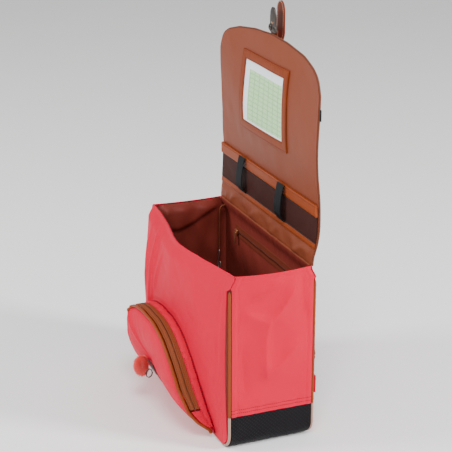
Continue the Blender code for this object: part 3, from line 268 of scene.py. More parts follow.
# Creases: from one place to another on a piece, in metres, with the reach of each flank and how
# far the crest stands out
CREASE = "x z to_x to_z reach height"
FRONT_CREASES = table(
    CREASE,
    (-0.094, 0.292, -0.090, 0.120, 0.0060, 0.0034),
    (-0.080, 0.285, -0.083, 0.140, 0.0050, -0.0026),
    (-0.072, 0.268, -0.076, 0.150, 0.0045, 0.0032),
    (-0.040, 0.262, -0.068, 0.196, 0.0080, 0.0028),
    (-0.112, 0.280, -0.118, 0.190, 0.0080, -0.0024),
    (-0.140, 0.276, -0.128, 0.170, 0.0110, 0.0024),
    (0.020, 0.285, 0.120, 0.190, 0.0220, -0.0016),
    (0.090, 0.276, 0.140, 0.210, 0.0150, 0.0014),
    (0.150, 0.120, 0.172, 0.200, 0.0160, 0.0016),
)
SIDE_CREASES = table(
    CREASE,
    (-0.009, 0.219, 0.036, 0.278, 0.0170, 0.0062),
    (-0.009, 0.219, -0.011, 0.130, 0.0130, 0.0050),
    (-0.011, 0.130, 0.044, 0.180, 0.0170, 0.0046),
    (-0.048, 0.240, -0.009, 0.219, 0.0140, 0.0036),
    (0.050, 0.285, 0.058, 0.215, 0.0120, -0.0030),
    (-0.050, 0.180, -0.044, 0.100, 0.0160, -0.0022),
    (0.010, 0.284, -0.030, 0.262, 0.0110, 0.0024),
)
POCKET_CREASES = table(
    CREASE,
    (-0.100, 0.135, -0.106, 0.070, 0.0060, 0.0012),
    (-0.084, 0.148, -0.092, 0.090, 0.0050, -0.0010),
    (-0.030, 0.060, -0.105, 0.030, 0.0140, 0.0012),
    (0.034, 0.060, 0.105, 0.030, 0.0140, 0.0012),
    (0.030, 0.110, 0.100, 0.140, 0.0200, -0.0010),
)
HINGE_CREASES = table(
    CREASE,
    (-0.150, 0.004, -0.120, 0.030, 0.0060, 0.0022),
    (-0.110, 0.020, -0.070, 0.006, 0.0070, -0.0018),
    (-0.060, 0.004, -0.030, 0.026, 0.0060, 0.0018),
    (-0.020, 0.022, 0.020, 0.006, 0.0070, -0.0016),
    (0.030, 0.004, 0.060, 0.026, 0.0070, 0.0020),
    (0.070, 0.024, 0.110, 0.006, 0.0080, -0.0020),
    (0.120, 0.004, 0.165, 0.030, 0.0080, 0.0024),
)


def linear(hex_colour, factor=1.0):
    """Turn an sRGB hex colour to linear values, brightened or darkened by a factor."""
    values = []
    for place in (0, 2, 4):
        share = int(hex_colour[place:place + 2], 16) / 255
        share = share / 12.92 if share <= 0.04045 else ((share + 0.055) / 1.055) ** 2.4
        values.append(min(share * factor, 1.0))
    return (*values, 1.0)


class RanselLooks(bpy.types.PropertyGroup):
    """Sizes and colours of the ransel's finish."""

    coral: StringProperty(name="Coral", description="Hex colour of the nylon", default="C2072F")
    coral_light: StringProperty(
        name="Coral light", description="Hex colour of the nylon's raised threads", default="DC103B")
    lining: StringProperty(name="Lining", description="Hex colour of the inside", default="8E4034")
    terracotta: StringProperty(
        name="Flap lining", description="Hex colour of the flap's inner face", default="82422B")
    charcoal: StringProperty(
        name="Base", description="Hex colour of the base's raised threads",
        default="262428")
    cognac: StringProperty(name="Trim", description="Hex colour of piping and tapes", default="9A4418")
    leather: StringProperty(name="Leather", description="Hex colour of the strap", default="702808")
    thread: FloatProperty(
        name="Thread", description="Spacing of the nylon's drawn threads", default=0.0011,
        min=0.0003, max=0.004, subtype="DISTANCE")
    twill: FloatProperty(
        name="Twill", description="Spacing of the base's drawn ribs", default=0.0042,
        min=0.0005, max=0.006, subtype="DISTANCE")
    creases: FloatProperty(
        name="Creases", description="Height of the creases, as a factor", default=1.35,
        min=0.0, max=2.0, subtype="FACTOR")
    stitch: FloatProperty(
        name="Stitch", description="Length of a stitch with its gap", default=0.0034,
        min=0.002, max=0.008, subtype="DISTANCE")
    tooth: FloatProperty(
        name="Zip tooth", description="Spacing of the zips' coils", default=0.0015,
        min=0.001, max=0.004, subtype="DISTANCE")
    strands: IntProperty(
        name="Strands", description="Yarn ends in the pompom", default=3400, min=100, max=6000)


def looks():
    """The scene's settings."""
    return bpy.context.scene.ransel_looks


# Helpers for tables, creases and meshes

def ease(share):
    """Ease from 0 to 1."""
    share = np.clip(share, 0.0, 1.0)
    return share * share * (3 - 2 * share)


def column(rows, at, name, reach=0.05):
    """Read a table's column through a short moving average, which rounds its corners."""
    keys = np.array([row[0] for row in rows])
    values = np.array([getattr(row, name) for row in rows])
    at = np.asarray(at, dtype=float)
    total = np.zeros(at.shape)
    for shift in (-1.0, -0.5, 0.0, 0.5, 1.0):
        place = at + shift * reach
        place = np.where(place < keys[0], 2 * keys[0] - place, place)
        beyond = place > keys[-1]
        value = np.interp(np.where(beyond, 2 * keys[-1] - place, place), keys, values)
        total += np.where(beyond, 2 * values[-1] - value, value)
    return total / 5


def creased(x, z, rows):
    """Height of a piece's creases at places on it."""
    total = np.zeros(np.broadcast(x, z).shape)
    for row in rows:
        run = np.array((row.to_x - row.x, row.to_z - row.z))
        length = np.hypot(*run)
        along = ((x - row.x) * run[0] + (z - row.z) * run[1]) / length ** 2
        off = ((x - row.x) * run[1] - (z - row.z) * run[0]) / length
        off = off - 0.03 * length * np.sin(np.clip(along, 0, 1) * np.pi)
        steep = np.where(off > 0, row.reach * 1.3, row.reach * 0.5)
        flank = np.sqrt(off ** 2 + (row.reach / 6) ** 2) / steep
        fade = ease((along + 0.25) / 0.5) * ease((1.25 - along) / 0.5)
        total += row.height * fade * np.exp(-flank ** 1.3)
    return total * looks().creases


def ripple(x, z, size, seed):
    """Soft undulation of about -1 to 1 with hills of a size."""
    random = np.random.default_rng(SEED + seed)
    total = np.zeros(np.broadcast(x, z).shape)
    for _ in range(7):
        angle, phase = random.uniform(0, np.pi), random.uniform(0, 2 * np.pi)
        stretch = random.uniform(0.7, 1.6)
        run = (x * np.cos(angle) + z * np.sin(angle)) * 2 * np.pi / (2 * size * stretch)
        total += np.sin(run + phase)
    return total / 4


def ridge(distance, width):
    """Round ridge across a distance."""
    return np.exp(-(distance / width) ** 2)


def placed(name, data):
    """New object in the scene."""
    item = bpy.data.objects.new(name, data)
    bpy.context.scene.collection.objects.link(item)
    return item


def link_mesh(name, mesh, finish):
    """Put a mesh in the scene with its finish, smooth but for its sharp edges."""
    mesh.shade_smooth()
    mesh.set_sharp_from_angle(angle=SHARP_ANGLE)
    mesh.materials.append(paint(finish))
    return placed(name, mesh)


@contextmanager
def editing(mesh):
    """Open a mesh for an edit and write it back."""
    bm = bmesh.new()
    bm.from_mesh(mesh)
    yield bm
    bm.to_mesh(mesh)
    bm.free()


def closed_mesh(name, points, faces, uv, finish):
    """Closed piece with its faces turned outwards and its UV map in metres."""
    mesh = bpy.data.meshes.new(name)
    mesh.from_pydata(np.reshape(points, (-1, 3)).tolist(), [], faces)
    corners = np.empty(len(mesh.loops), dtype=int)
    mesh.loops.foreach_get("vertex_index", corners)
    places = np.asarray(uv, dtype=float)[..., :2].reshape(-1, 2)[corners]
    mesh.uv_layers.new(name="UVMap").data.foreach_set("uv", places.ravel())
    with editing(mesh) as bm:
        bmesh.ops.recalc_face_normals(bm, faces=bm.faces)
    return link_mesh(name, mesh, finish)


def quads_of(index, around=False):
    """Quads between neighbours in a grid of vertex numbers, which may close around."""
    if around:
        index = np.concatenate((index, index[:, :1]), axis=1)
    quads = np.stack((index[:-1, :-1], index[:-1, 1:], index[1:, 1:], index[1:, :-1]), axis=-1)
    return quads.reshape(-1, 4)


def solid(name, near, far, uv, finish, ring=False):
    """Close two matching grids of points into a sheet; a ring's ends are capped, its top joined."""
    rows, columns = near.shape[:2]
    count = rows * columns
    index = np.arange(count).reshape(rows, columns)
    rim, caps = np.concatenate((index[0], index[1:, -1], index[-1, -2::-1], index[-2::-1, 0])), []
    if ring:
        rim, caps = np.append(index[-1], index[-1, 0]), [index[0].tolist(), (index[0] + count)[::-1].tolist()]
    quads = quads_of(index, ring)
    edge = np.stack((rim[:-1], rim[1:], rim[1:] + count, rim[:-1] + count), axis=-1)
    faces = quads.tolist() + (quads[:, ::-1] + count).tolist() + caps + edge.tolist()
    return closed_mesh(name, (near, far), faces, (uv, uv), finish)


def stack(x, y, z):
    """Join coordinates into points."""
    return np.stack(np.broadcast_arrays(x, y, z), axis=-1).astype(float)


def lengths(points):
    """Distance along a line of points at each of them."""
    steps = np.linalg.norm(np.diff(points, axis=0), axis=1)
    return np.concatenate(((0.0,), np.cumsum(steps)))


def unit(vectors):
    """Vectors of length one."""
    return vectors / (np.linalg.norm(vectors, axis=-1, keepdims=True) + 1e-12)


def directions(points, closed=False):
    """Direction of a line at each of its points."""
    if closed:
        return unit(np.roll(points, -1, axis=0) - np.roll(points, 1, axis=0))
    return unit(np.gradient(points, axis=0))


def finer(points, count, closed=False):
    """Smooth curve through points, with a number of even steps."""
    points = np.asarray(points, dtype=float)
    if closed:
        points = np.concatenate((points, points[:1]))
    at = lengths(points)
    slopes = np.gradient(points, at, axis=0)
    if closed:
        slopes[0] = slopes[-1] = (slopes[0] + slopes[-1]) / 2
    where = np.linspace(0, at[-1], count + (1 if closed else 0))
    place = np.clip(np.searchsorted(at, where, side="right") - 1, 0, len(at) - 2)
    span = (at[place + 1] - at[place])[:, None]
    part = ((where - at[place])[:, None]) / span
    start, end = points[place], points[place + 1]
    lead, trail = slopes[place] * span, slopes[place + 1] * span
    curve = start * (2 * part ** 3 - 3 * part ** 2 + 1) + lead * (part ** 3 - 2 * part ** 2 + part)
    curve += end * (3 * part ** 2 - 2 * part ** 3) + trail * (part ** 3 - part ** 2)
    return curve[:-1] if closed else curve


def sweep(name, centres, across, out, section, finish, closed=False):
    """Sweep a section of unit coordinates along centres, scaled by two vectors at each."""
    count, sides = len(centres), len(section)
    rings = centres[:, None] + across[:, None] * section[:, :1] + out[:, None] * section[:, 1:]
    points = rings.reshape(-1, 3)
    index = np.arange(count * sides).reshape(count, sides)
    along = lengths(np.concatenate((centres, centres[:1])) if closed else centres)[:count]
    width = np.linalg.norm(across, axis=1).mean()
    uv = stack(along[:, None], section[:, 0] * width, 0.0).reshape(-1, 3)
    if closed:
        faces = quads_of(np.concatenate((index, index[:1])), True).tolist()
    else:
        faces = quads_of(index, True).tolist()
        points = np.concatenate((points, centres[:1], centres[-1:]))
        uv = np.concatenate((uv, ((0.0, 0.0, 0.0), (along[-1], 0.0, 0.0))))
        for ring, tip in ((index[0].tolist(), count * sides), (index[-1].tolist(), count * sides + 1)):
            faces += [[ring[step - 1], ring[step], tip] for step in range(sides)]
    return closed_mesh(name, points, faces, uv, finish)


def round_section(sides):
    """Circle of unit radius."""
    angles = np.linspace(0, 2 * np.pi, sides, endpoint=False)
    return np.stack((np.cos(angles), np.sin(angles)), axis=-1)


def strap_section(sides=20, power=8):
    """Flat section with softly rounded edges."""
    angles = np.linspace(0, 2 * np.pi, sides, endpoint=False) + np.pi / sides
    cosine, sine = np.cos(angles), np.sin(angles)
    across = np.sign(cosine) * abs(cosine) ** (2 / power)
    return np.stack((across, np.sign(sine) * abs(sine) ** 0.5), axis=-1)


def tube(name, points, radius, finish, closed=False, sides=14, hint=(0, 1, 0)):
    """Round tube along points; radius may differ at each."""
    points = np.asarray(points, dtype=float)
    run = directions(points, closed)
    out = unit(np.cross(np.broadcast_to(np.asarray(hint, dtype=float), run.shape), run))
    up = np.cross(run, out)
    radius = np.broadcast_to(radius, len(points))[:, None]
    return sweep(name, points, out * radius, up * radius, round_section(sides), finish, closed)


def strap(name, centres, half_width, half_thickness, hint, finish, section=None):
    """Flat band along centres whose face looks towards a hint."""
    centres = np.asarray(centres, dtype=float)
    run = directions(centres)
    hint = np.broadcast_to(np.asarray(hint, dtype=float), centres.shape)
    across = unit(np.cross(run, hint))
    out = unit(np.cross(across, run))
    half_width = np.broadcast_to(half_width, len(centres))[:, None]
    half_thickness = np.broadcast_to(half_thickness, len(centres))[:, None]
    section = strap_section() if section is None else section
    return sweep(name, centres, across * half_width, out * half_thickness, section, finish)


def dress(item, slot, *nodes):
    """Let a finished piece ride on the bag, under its slot, in place of solids."""
    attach(item, BODY)
    if nodes:
        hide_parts(*nodes)
    return item


def flatten(item):
    """Apply an object's modifiers and return it as a plain mesh."""
    graph = bpy.context.evaluated_depsgraph_get()
    mesh = bpy.data.meshes.new_from_object(item.evaluated_get(graph))
    item.modifiers.clear()
    old = item.data
    item.data = mesh
    bpy.data.meshes.remove(old)
    mesh.name = item.name
    return item


# Geometry Nodes tree that repeats a bead along lines, for stitches and zip coils

def node_tree(name, **sockets):
    """Geometry Nodes tree with a mesh in and out and named inputs of given kinds, and its inputs."""
    tree = bpy.data.node_groups.new(name, "GeometryNodeTree")
    for way in ("INPUT", "OUTPUT"):
        tree.interface.new_socket("Geometry", in_out=way, socket_type="NodeSocketGeometry")
    for label, kind in sockets.items():
        tree.interface.new_socket(label, in_out="INPUT", socket_type="NodeSocket" + kind)
    return tree, add(tree, "NodeGroupInput").outputs


def end_tree(tree, geometry, material):
    """End a tree with a real mesh in its material."""
    real = add(tree, "GeometryNodeRealizeInstances", {"Geometry": geometry})
    dressed = add(tree, "GeometryNodeSetMaterial", {"Geometry": real.outputs[0], "Material": material})
    add(tree, "NodeGroupOutput", {"Geometry": dressed.outputs[0]})
    return tree


def grow(item, tree, **values):
    """Run a tree on an object, its inputs set by identifier, and keep a plain mesh."""
    modifier = item.modifiers.new(tree.name, "NODES")
    modifier.node_group = tree
    for socket in tree.interface.items_tree:
        if socket.in_out == "INPUT" and socket.name in values:
            modifier[socket.identifier] = values[socket.name]
    flatten(item)
    item.data.shade_smooth()


def bead_tree():
    """Tree that sets small rounded beads along lines, turned to each line and to its facing."""
    tree, start = node_tree("beads_along_lines", Spacing="Float", Length="Float", Width="Float",
                            Height="Float", Material="Material")
    line = add(tree, "GeometryNodeMeshToCurve", {"Mesh": start["Geometry"]})
    even = add(tree, "GeometryNodeResampleCurve",
               {"Curve": line.outputs[0], "Length": start["Spacing"]}, mode="LENGTH")
    facing = add(tree, "GeometryNodeInputNamedAttribute", {"Name": "facing"},
                 data_type="FLOAT_VECTOR")
    tangent = add(tree, "GeometryNodeInputTangent")
    lift = add(tree, "FunctionNodeAlignRotationToVector", {"Vector": facing.outputs[0]}, axis="Z")
    turn = add(tree, "FunctionNodeAlignRotationToVector",
               {"Rotation": lift.outputs[0], "Vector": tangent.outputs[0]}, axis="X", pivot_axis="Z")
    bead = add(tree, "GeometryNodeMeshUVSphere", {"Segments": 6, "Rings": 4, "Radius": 0.5})
    size = add(tree, "ShaderNodeCombineXYZ",
               {"X": start["Length"], "Y": start["Width"], "Z": start["Height"]})
    spots = add(tree, "GeometryNodeInstanceOnPoints",
                {"Points": even.outputs[0], "Instance": bead.outputs[0],
                 "Rotation": turn.outputs[0], "Scale": size.outputs[0]})
    return end_tree(tree, spots.outputs[0], start["Material"])


def beads(name, lines, spacing, size, finish, slot):
    """Beads along lines of points, each line with the direction that its beads face."""
    points, edges, facing = [], [], []
    for line, out in lines:
        line = np.asarray(line, dtype=float)
        first = len(points)
        points += line.tolist()
        facing += np.broadcast_to(out, line.shape).tolist()
        edges += [(first + step, first + step + 1) for step in range(len(line) - 1)]
    mesh = bpy.data.meshes.new(name)
    mesh.from_pydata(points, edges, [])
    mesh.attributes.new("facing", "FLOAT_VECTOR", "POINT").data.foreach_set("vector", np.ravel(facing))
    item = placed(name, mesh)
    length, width, height = size
    tree = bpy.data.node_groups.get("beads_along_lines") or bead_tree()
    grow(item, tree, Spacing=spacing, Length=length, Width=width, Height=height, Material=paint(finish))
    return dress(item, slot)


def stitches(name, lines, width, height, thread, slot, share=0.72):
    """Rows of stitches along lines, each stitch a share of its step."""
    step = looks().stitch
    return beads(name, lines, step, (step * share, width, height), thread, slot)


# Materials

def add(tree, kind, links=None, **settings):
    """Add a node with its settings and what feeds its inputs, and return it."""
    item = tree.nodes.new(kind)
    for name, value in settings.items():
        setattr(item, name, value)
    for name, source in (links or {}).items():
        if isinstance(source, bpy.types.NodeSocket):
            tree.links.new(source, item.inputs[name])
        else:
            item.inputs[name].default_value = source
    return item


def new_material(name, **sockets):
    """Principled material with constants on its sockets, and its tree."""
    mat = bpy.data.materials.new(name)
    mat.use_nodes = True
    shader = mat.node_tree.nodes["Principled BSDF"]
    for socket, value in sockets.items():
        shader.inputs[socket.replace("_", " ")].default_value = value
    return mat, mat.node_tree


def surface(tree):
    """Place on the piece, in metres."""
    return add(tree, "ShaderNodeTexCoord").outputs["Object"]


def cloth_map(tree):
    """Place on the piece's UV map."""
    return add(tree, "ShaderNodeUVMap", uv_map="UVMap").outputs[0]


def blend_colour(tree, share, low, high):
    """Mix two colours by a share."""
    return add(tree, "ShaderNodeMix", {0: share, 6: low, 7: high}, data_type="RGBA").outputs[2]


def coat(mat, share, low, high, height=None, distance=0.0, strength=1.0):
    """Colour a material between two colours by a share, and give it its relief."""
    tree = mat.node_tree
    shader = tree.nodes["Principled BSDF"].inputs
    tree.links.new(blend_colour(tree, share, low, high), shader["Base Color"])
    if height is not None:
        relief = add(tree, "ShaderNodeBump", {"Height": height, "Distance": distance, "Strength": strength})
        tree.links.new(relief.outputs[0], shader["Normal"])
    return mat


def waves(tree, source, spacing, direction, distortion=0.0):
    """Bands with a spacing in metres."""
    item = add(tree, "ShaderNodeTexWave",
               {"Vector": source, "Scale": math.pi / 10 / spacing, "Distortion": distortion,
                "Detail": 1.0, "Detail Scale": 2.0},
               bands_direction=direction, wave_profile="SIN")
    return item.outputs["Fac"]


def times(tree, first, second):
    """Multiply two numbers."""
    return add(tree, "ShaderNodeMath", {0: first, 1: second}, operation="MULTIPLY").outputs[0]


def plus(tree, first, second, share):
    """Add a share of a second number to the first."""
    return add(tree, "ShaderNodeMath", {0: second, 1: share, 2: first}, operation="MULTIPLY_ADD").outputs[0]


def stretched(tree, value, **ends):
    """Map a value from one range to another."""
    links = {name.replace("_", " "): end for name, end in ends.items()}
    return add(tree, "ShaderNodeMapRange", {"Value": value, **links}).outputs[0]


def noise(tree, source, size, detail=2.0):
    """Noise with grains of about a size in metres."""
    item = add(tree, "ShaderNodeTexNoise", {"Vector": source, "Scale": 1 / size, "Detail": detail})
    return item.outputs["Fac"]


def woven(name, dark, light, thread, roughness, relief, sheen=0.25, diagonal=False, patches=0.25,
          gloss=0.16):
    """Woven cloth on the UV map: two sets of threads, soft patches and a sheen on raised threads.

    Threads finer than a pixel of the render are drawn coarser than the real ones.
    """
    mat, tree = new_material(
        name, Roughness=roughness, Specular_IOR_Level=gloss, Sheen_Weight=sheen * 0.4,
        Sheen_Roughness=0.45, Sheen_Tint=linear(light))
    run = cloth_map(tree)
    if diagonal:
        run = add(tree, "ShaderNodeMapping",
                  {"Vector": run, "Rotation": (0, 0, math.radians(45))}).outputs[0]
    weave = times(tree, waves(tree, run, thread, "X"), waves(tree, run, thread * 1.15, "Y"))
    place = surface(tree)
    fine = noise(tree, place, 0.0016, 3.0)
    share = plus(tree, plus(tree, 0.05, weave, 0.45), noise(tree, place, 0.060), patches)
    share = plus(tree, share, fine, 0.22)
    return coat(mat, share, linear(dark), linear(light), plus(tree, weave, fine, 0.6), relief, 0.7)


def ribbed(name, dark, light, spacing, roughness, relief, direction="X"):
    """Ribbed tape or webbing: raised ribs across its UV map, with fuzz between them."""
    mat, tree = new_material(
        name, Roughness=roughness, Specular_IOR_Level=0.2, Sheen_Weight=0.1, Sheen_Roughness=0.5,
        Sheen_Tint=linear(light))
    run = cloth_map(tree)
    cross = waves(tree, run, spacing * 0.8, "Y" if direction == "X" else "X")
    height = plus(tree, waves(tree, run, spacing, direction, 0.4), cross, 0.35)
    share = plus(tree, times(tree, height, 0.5), noise(tree, surface(tree), 0.0012, 3.0), 0.3)
    return coat(mat, share, linear(dark), linear(light), height, relief, 0.8)


def leather(name, dark, light):
    """Drum-dyed leather: pebbled grain, darker pores and a soft waxed gloss."""
    mat, tree = new_material(
        name, Roughness=0.5, Specular_IOR_Level=0.2, Coat_Weight=0.04, Coat_Roughness=0.35)
    place = surface(tree)
    grain = add(tree, "ShaderNodeTexVoronoi", {"Vector": place, "Scale": 1 / 0.0016, "Randomness": 1.0})
    grain = grain.outputs["Distance"]
    share = plus(tree, times(tree, noise(tree, place, 0.012, 4.0), 0.75), grain, 0.35)
    return coat(mat, share, linear(dark), linear(light), grain, 0.00012, 0.6)


def metal(name, tint, roughness):
    """Plated zinc, satin from tumbling, with faint scuffs."""
    mat, tree = new_material(name, Metallic=1.0)
    scuff = noise(tree, surface(tree), 0.0030, 6.0)
    rough = stretched(tree, scuff, To_Min=roughness - 0.08, To_Max=roughness + 0.14)
    tree.links.new(rough, tree.nodes["Principled BSDF"].inputs["Roughness"])
    return coat(mat, scuff, linear(tint), linear(tint, 1.35), scuff, 0.00005, 0.4)


def moulded(name, tint, roughness):
    """Moulded plastic with a fine spark-eroded grain."""
    mat, tree = new_material(name, Roughness=roughness, Specular_IOR_Level=0.3)
    grain = noise(tree, surface(tree), 0.0008)
    return coat(mat, grain, linear(tint), linear(tint, 1.6), grain, 0.00006, 0.5)


def net(name, thread_colour, hole_colour):
    """Knitted net over dark cloth: small round holes set in rows."""
    mat, tree = new_material(name, Roughness=0.7, Specular_IOR_Level=0.15)
    run = cloth_map(tree)
    cell = times(tree, waves(tree, run, 0.0022, "X"), waves(tree, run, 0.0022, "Y"))
    hole = stretched(tree, cell, From_Min=0.30, From_Max=0.62)
    share = plus(tree, hole, noise(tree, surface(tree), 0.05), 0.25)
    return coat(mat, share, linear(thread_colour), linear(hole_colour), plus(tree, 1.0, hole, -1.0),
                0.0003, 0.8)


def timetable_paper():
    """Coated paper printed with an empty grid: pale header and margin, green boxes, thin rules."""
    mat, tree = new_material("timetable_paper", Roughness=0.55)
    run = cloth_map(tree)
    prints = []
    for rule, blur, row, first, second, line in ((0.010, 0.2, 0.0735, "B2E494", "BCEAA2", "70B26C"),
                                                 (0.006, 0.3, 0.0245, "C2EEA8", "B4E698", "7CB87A")):
        prints.append(add(tree, "ShaderNodeTexBrick", {
            "Vector": run, "Scale": 1.0, "Mortar Size": rule, "Mortar Smooth": blur,
            "Brick Width": 0.127, "Row Height": row, "Color1": linear(first),
            "Color2": linear(second), "Mortar": linear(line)}, offset=0.0).outputs[0])
    split = add(tree, "ShaderNodeSeparateXYZ", {"Vector": run}).outputs
    inside = 1.0
    for axis, side, edge in ((0, "GREATER_THAN", 0.115), (0, "LESS_THAN", 0.975),
                             (1, "GREATER_THAN", 0.03), (1, "LESS_THAN", 0.865)):
        within = add(tree, "ShaderNodeMath", {0: split[axis], 1: edge}, operation=side)
        inside = times(tree, within.outputs[0], inside)
    return coat(mat, inside, linear("E8EEF2"), blend_colour(tree, 0.5, *prints))


def clear_film():
    """Clear PVC film: glossy, almost colourless."""
    mat, tree = new_material("clear_film", Roughness=0.15, Alpha=0.06, Specular_IOR_Level=0.4)
    wave = noise(tree, surface(tree), 0.030, 1.0)
    return coat(mat, wave, linear("EEF2F2"), linear("FFFFFF"), wave, 0.0006, 0.3)


def yarn(name, low, high, z_low, z_high):
    """Acrylic yarn, paler at the bottom of the ball, where its ends catch the light."""
    mat, tree = new_material(name, Roughness=0.85, Sheen_Weight=0.5, Sheen_Roughness=0.4)
    place = surface(tree)
    height = add(tree, "ShaderNodeSeparateXYZ", {"Vector": place}).outputs[2]
    rise = stretched(tree, height, From_Min=z_low, From_Max=z_high)
    fine = noise(tree, place, 0.0016)
    share = plus(tree, times(tree, rise, 0.8), fine, 0.3)
    return coat(mat, share, linear(low), linear(high), fine, 0.0002, 0.5)


def thread(name, tint):
    """Twisted polyester sewing thread."""
    mat, tree = new_material(name, Roughness=0.6, Specular_IOR_Level=0.15)
    fine = noise(tree, surface(tree), 0.0007)
    return coat(mat, fine, linear(tint, 0.6), linear(tint), fine, 0.0001, 0.5)


MATERIALS = {}


def paint(name):
    """A material by name, made once."""
    if not MATERIALS:
        make_materials()
    return MATERIALS[name]


def make_materials():
    """Make the bag's materials."""
    look = looks()
    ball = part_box("pompom")
    MATERIALS.update({
        # Polyester nylon, plain weave, calendered on its face: soft gloss
        "coral": woven("coral_nylon", look.coral, look.coral_light, look.thread, 0.52, 0.00010,
                       gloss=0.06),
        # Taffeta lining: smooth, slightly silky
        "lining": woven("brown_taffeta", "6A2420", look.lining, 0.0012, 0.50, 0.00006, sheen=0.15),
        "terracotta": woven("terracotta_taffeta", "743824", look.terracotta, 0.0013, 0.48, 0.00007,
                            diagonal=True),
        # Coated twill of the base
        "base": woven("charcoal_twill", "060506", look.charcoal, look.twill, 0.62, 0.00060,
                      sheen=0.05, diagonal=True, patches=0.1, gloss=0.09),
        "pad": woven("charcoal_spacer_cloth", "1A191C", "38363A", 0.0030, 0.75, 0.00035, sheen=0.15),
        # Satin bias tape rolled over a cord
        "cognac": ribbed("cognac_bias_tape", "6E2C0E", look.cognac, 0.0012, 0.48, 0.00008),
        "tape": ribbed("cognac_zip_tape", "70341A", "96502C", 0.0011, 0.6, 0.00010, direction="Y"),
        "inner_tape": ribbed("brown_zip_tape", "5A2014", "7E3A26", 0.0011, 0.6, 0.00010,
                             direction="Y"),
        "pale": ribbed("pale_bias_tape", "8E6C60", "B39484", 0.0012, 0.45, 0.00008),
        "leather": leather("cognac_leather", "521A04", look.leather),
        "frame": leather("window_leather", "672505", "84370A"),
        "net": net("brown_net", "43201A", "1C0E0C"),
        "edging": ribbed("brown_edging", "4A2418", "7A4630", 0.0010, 0.6, 0.00008),
        "net_edge": ribbed("black_edging", "141416", "26262A", 0.0010, 0.7, 0.00008),
        "elastic": ribbed("black_elastic", "07090B", "14191C", 0.0014, 0.7, 0.00016, direction="Y"),
        "webbing": ribbed("grey_webbing", "2A2626", "524C4A", 0.0020, 0.75, 0.00025),
        "metal": metal("gunmetal_plating", "4E4844", 0.32),
        # Copper plating of the inner zip's metal, also used for the painted highlight on the clasp tongue's
        # notch
        "copper": metal("copper_plating_and_notch_highlight", "C08A68", 0.40),
        "silver": metal("nickel_plating", "C8C0B8", 0.40),
        "coil": moulded("brown_nylon_coil", "44200E", 0.5),
        "inner_coil": moulded("lining_nylon_coil", "4A1A0E", 0.55),
        # Black plastic of the strap adjusters, also used for the painted shade discs in the clasp tongue's
        # eyes
        "plastic": moulded("black_acetal_and_hole_shade", "141518", 0.5),
        "paper": timetable_paper(),
        "film": clear_film(),
        # Cord twisted from acrylic yarn
        "cord": ribbed("cognac_twisted_cord", "4A2010", "824628", 0.0016, 0.7, 0.00030),
        "yarn": yarn("coral_yarn", "F26A66", "E82A22", ball[0][2], ball[1][2]),
        # Coral thread in a deepened dark red that also carries painted shade: the shade of the stitch
        # grooves, and the painted shade line at the pocket's join
        "coral_thread_and_shade": thread("coral_thread_and_shade", "7E0818"),
        "cognac_thread": thread("cognac_thread", "5A2408"),
        "pale_thread": thread("pale_thread", "F4DEC6"),
        "dark_thread": thread("dark_thread", "3A3436"),
    })


# Shape of the body

def half_depth(z):
    """Half the bag's depth, which pinches in towards the rim."""
    return BODY_DEPTH / 2 - RIM_PINCH * ease((z - BODY_HEIGHT + PINCH_HEIGHT) / PINCH_HEIGHT)


def half_outline(z, inset=0.0):
    """Half the width of the front and back outline, with round bottom corners."""
    radius = CORNER_RADIUS - inset
    rise = np.clip(CORNER_RADIUS - z, 0.0, radius)
    return BODY_WIDTH / 2 - CORNER_RADIUS + np.sqrt(radius ** 2 - rise ** 2)


def seam_open(z):
    """1 where the seam holds piping and 0 at the rim above it."""
    return 1 - ease((z - BODY_HEIGHT + PIPING_DROP) / SEAM_BLEND)


def face_room(z):
    """Room that the front and back panels leave at their edges for the piping."""
    return PIPING_ROOM * seam_open(z)


def side_room(z):
    """Room that the sides and the base leave at their front and back edges."""
    flush = WALL + GAP
    return flush + (PIPING_ROOM - flush) * seam_open(z)


def pocket_ratio(x, z):
    """1 on the pocket's outline, less inside it and more outside."""
    across = np.abs(x) / (POCKET_WIDTH / 2)
    up = np.clip(z - POCKET_FOOT, 0, None) / POCKET_HEIGHT
    return (across ** POCKET_SQUARENESS + up ** POCKET_SQUARENESS) ** (1 / POCKET_SQUARENESS)


def hem_relief(z):
    """Turned hem below the rim: a soft roll over the dip of its seam."""
    down = BODY_HEIGHT - z
    return 0.0004 * ridge(down - 0.0022, 0.0020) - 0.0005 * ridge(down - 0.0052, 0.0009)


def front_relief(x, z):
    """How far the front panel's folds, hem and seams stand out."""
    edge = half_outline(z) - np.abs(x)
    settled = ease(edge / 0.020) * ease((BODY_HEIGHT - z) / 0.010)
    relief = creased(x, z, FRONT_CREASES) * settled
    relief = relief + 0.0011 * ripple(x, z, 0.055, 1) * settled
    relief = relief + 0.0003 * ripple(x, z, 0.014, 2) * ease(edge / 0.012)
    pillow = ridge(edge - 0.0105, 0.0040) * seam_open(z - 0.004)
    relief = relief + 0.0010 * pillow - 0.0007 * ridge(edge - 0.0165, 0.0018)
    relief = relief + hem_relief(z)
    around = (pocket_ratio(x, z) - 1) * POCKET_HEIGHT
    relief = relief - 0.0007 * ridge(around - 0.0055, 0.0012) + 0.0005 * ridge(around - 0.0110, 0.0040)
    return relief


def front_y(x, z):
    """Outer face of the front panel, which the bag's filling pushes out."""
    x, z = np.broadcast_arrays(np.asarray(x, dtype=float), np.asarray(z, dtype=float))
    across = np.clip(x / half_outline(z), -1, 1)
    share = z / BODY_HEIGHT
    stuffed = 1 - np.abs(across) ** PANEL_SQUARENESS
    rim = column(RIM_SECTIONS, across, "bow", 0.08)
    profile = stuffed + (rim - stuffed) * column(FRONT_SECTIONS, share, "rim")
    fullness = np.clip(column(FRONT_SECTIONS, share, "fullness"), 0, None)
    return -half_depth(z) - FRONT_BULGE * fullness * np.clip(profile, 0, None) - front_relief(x, z)


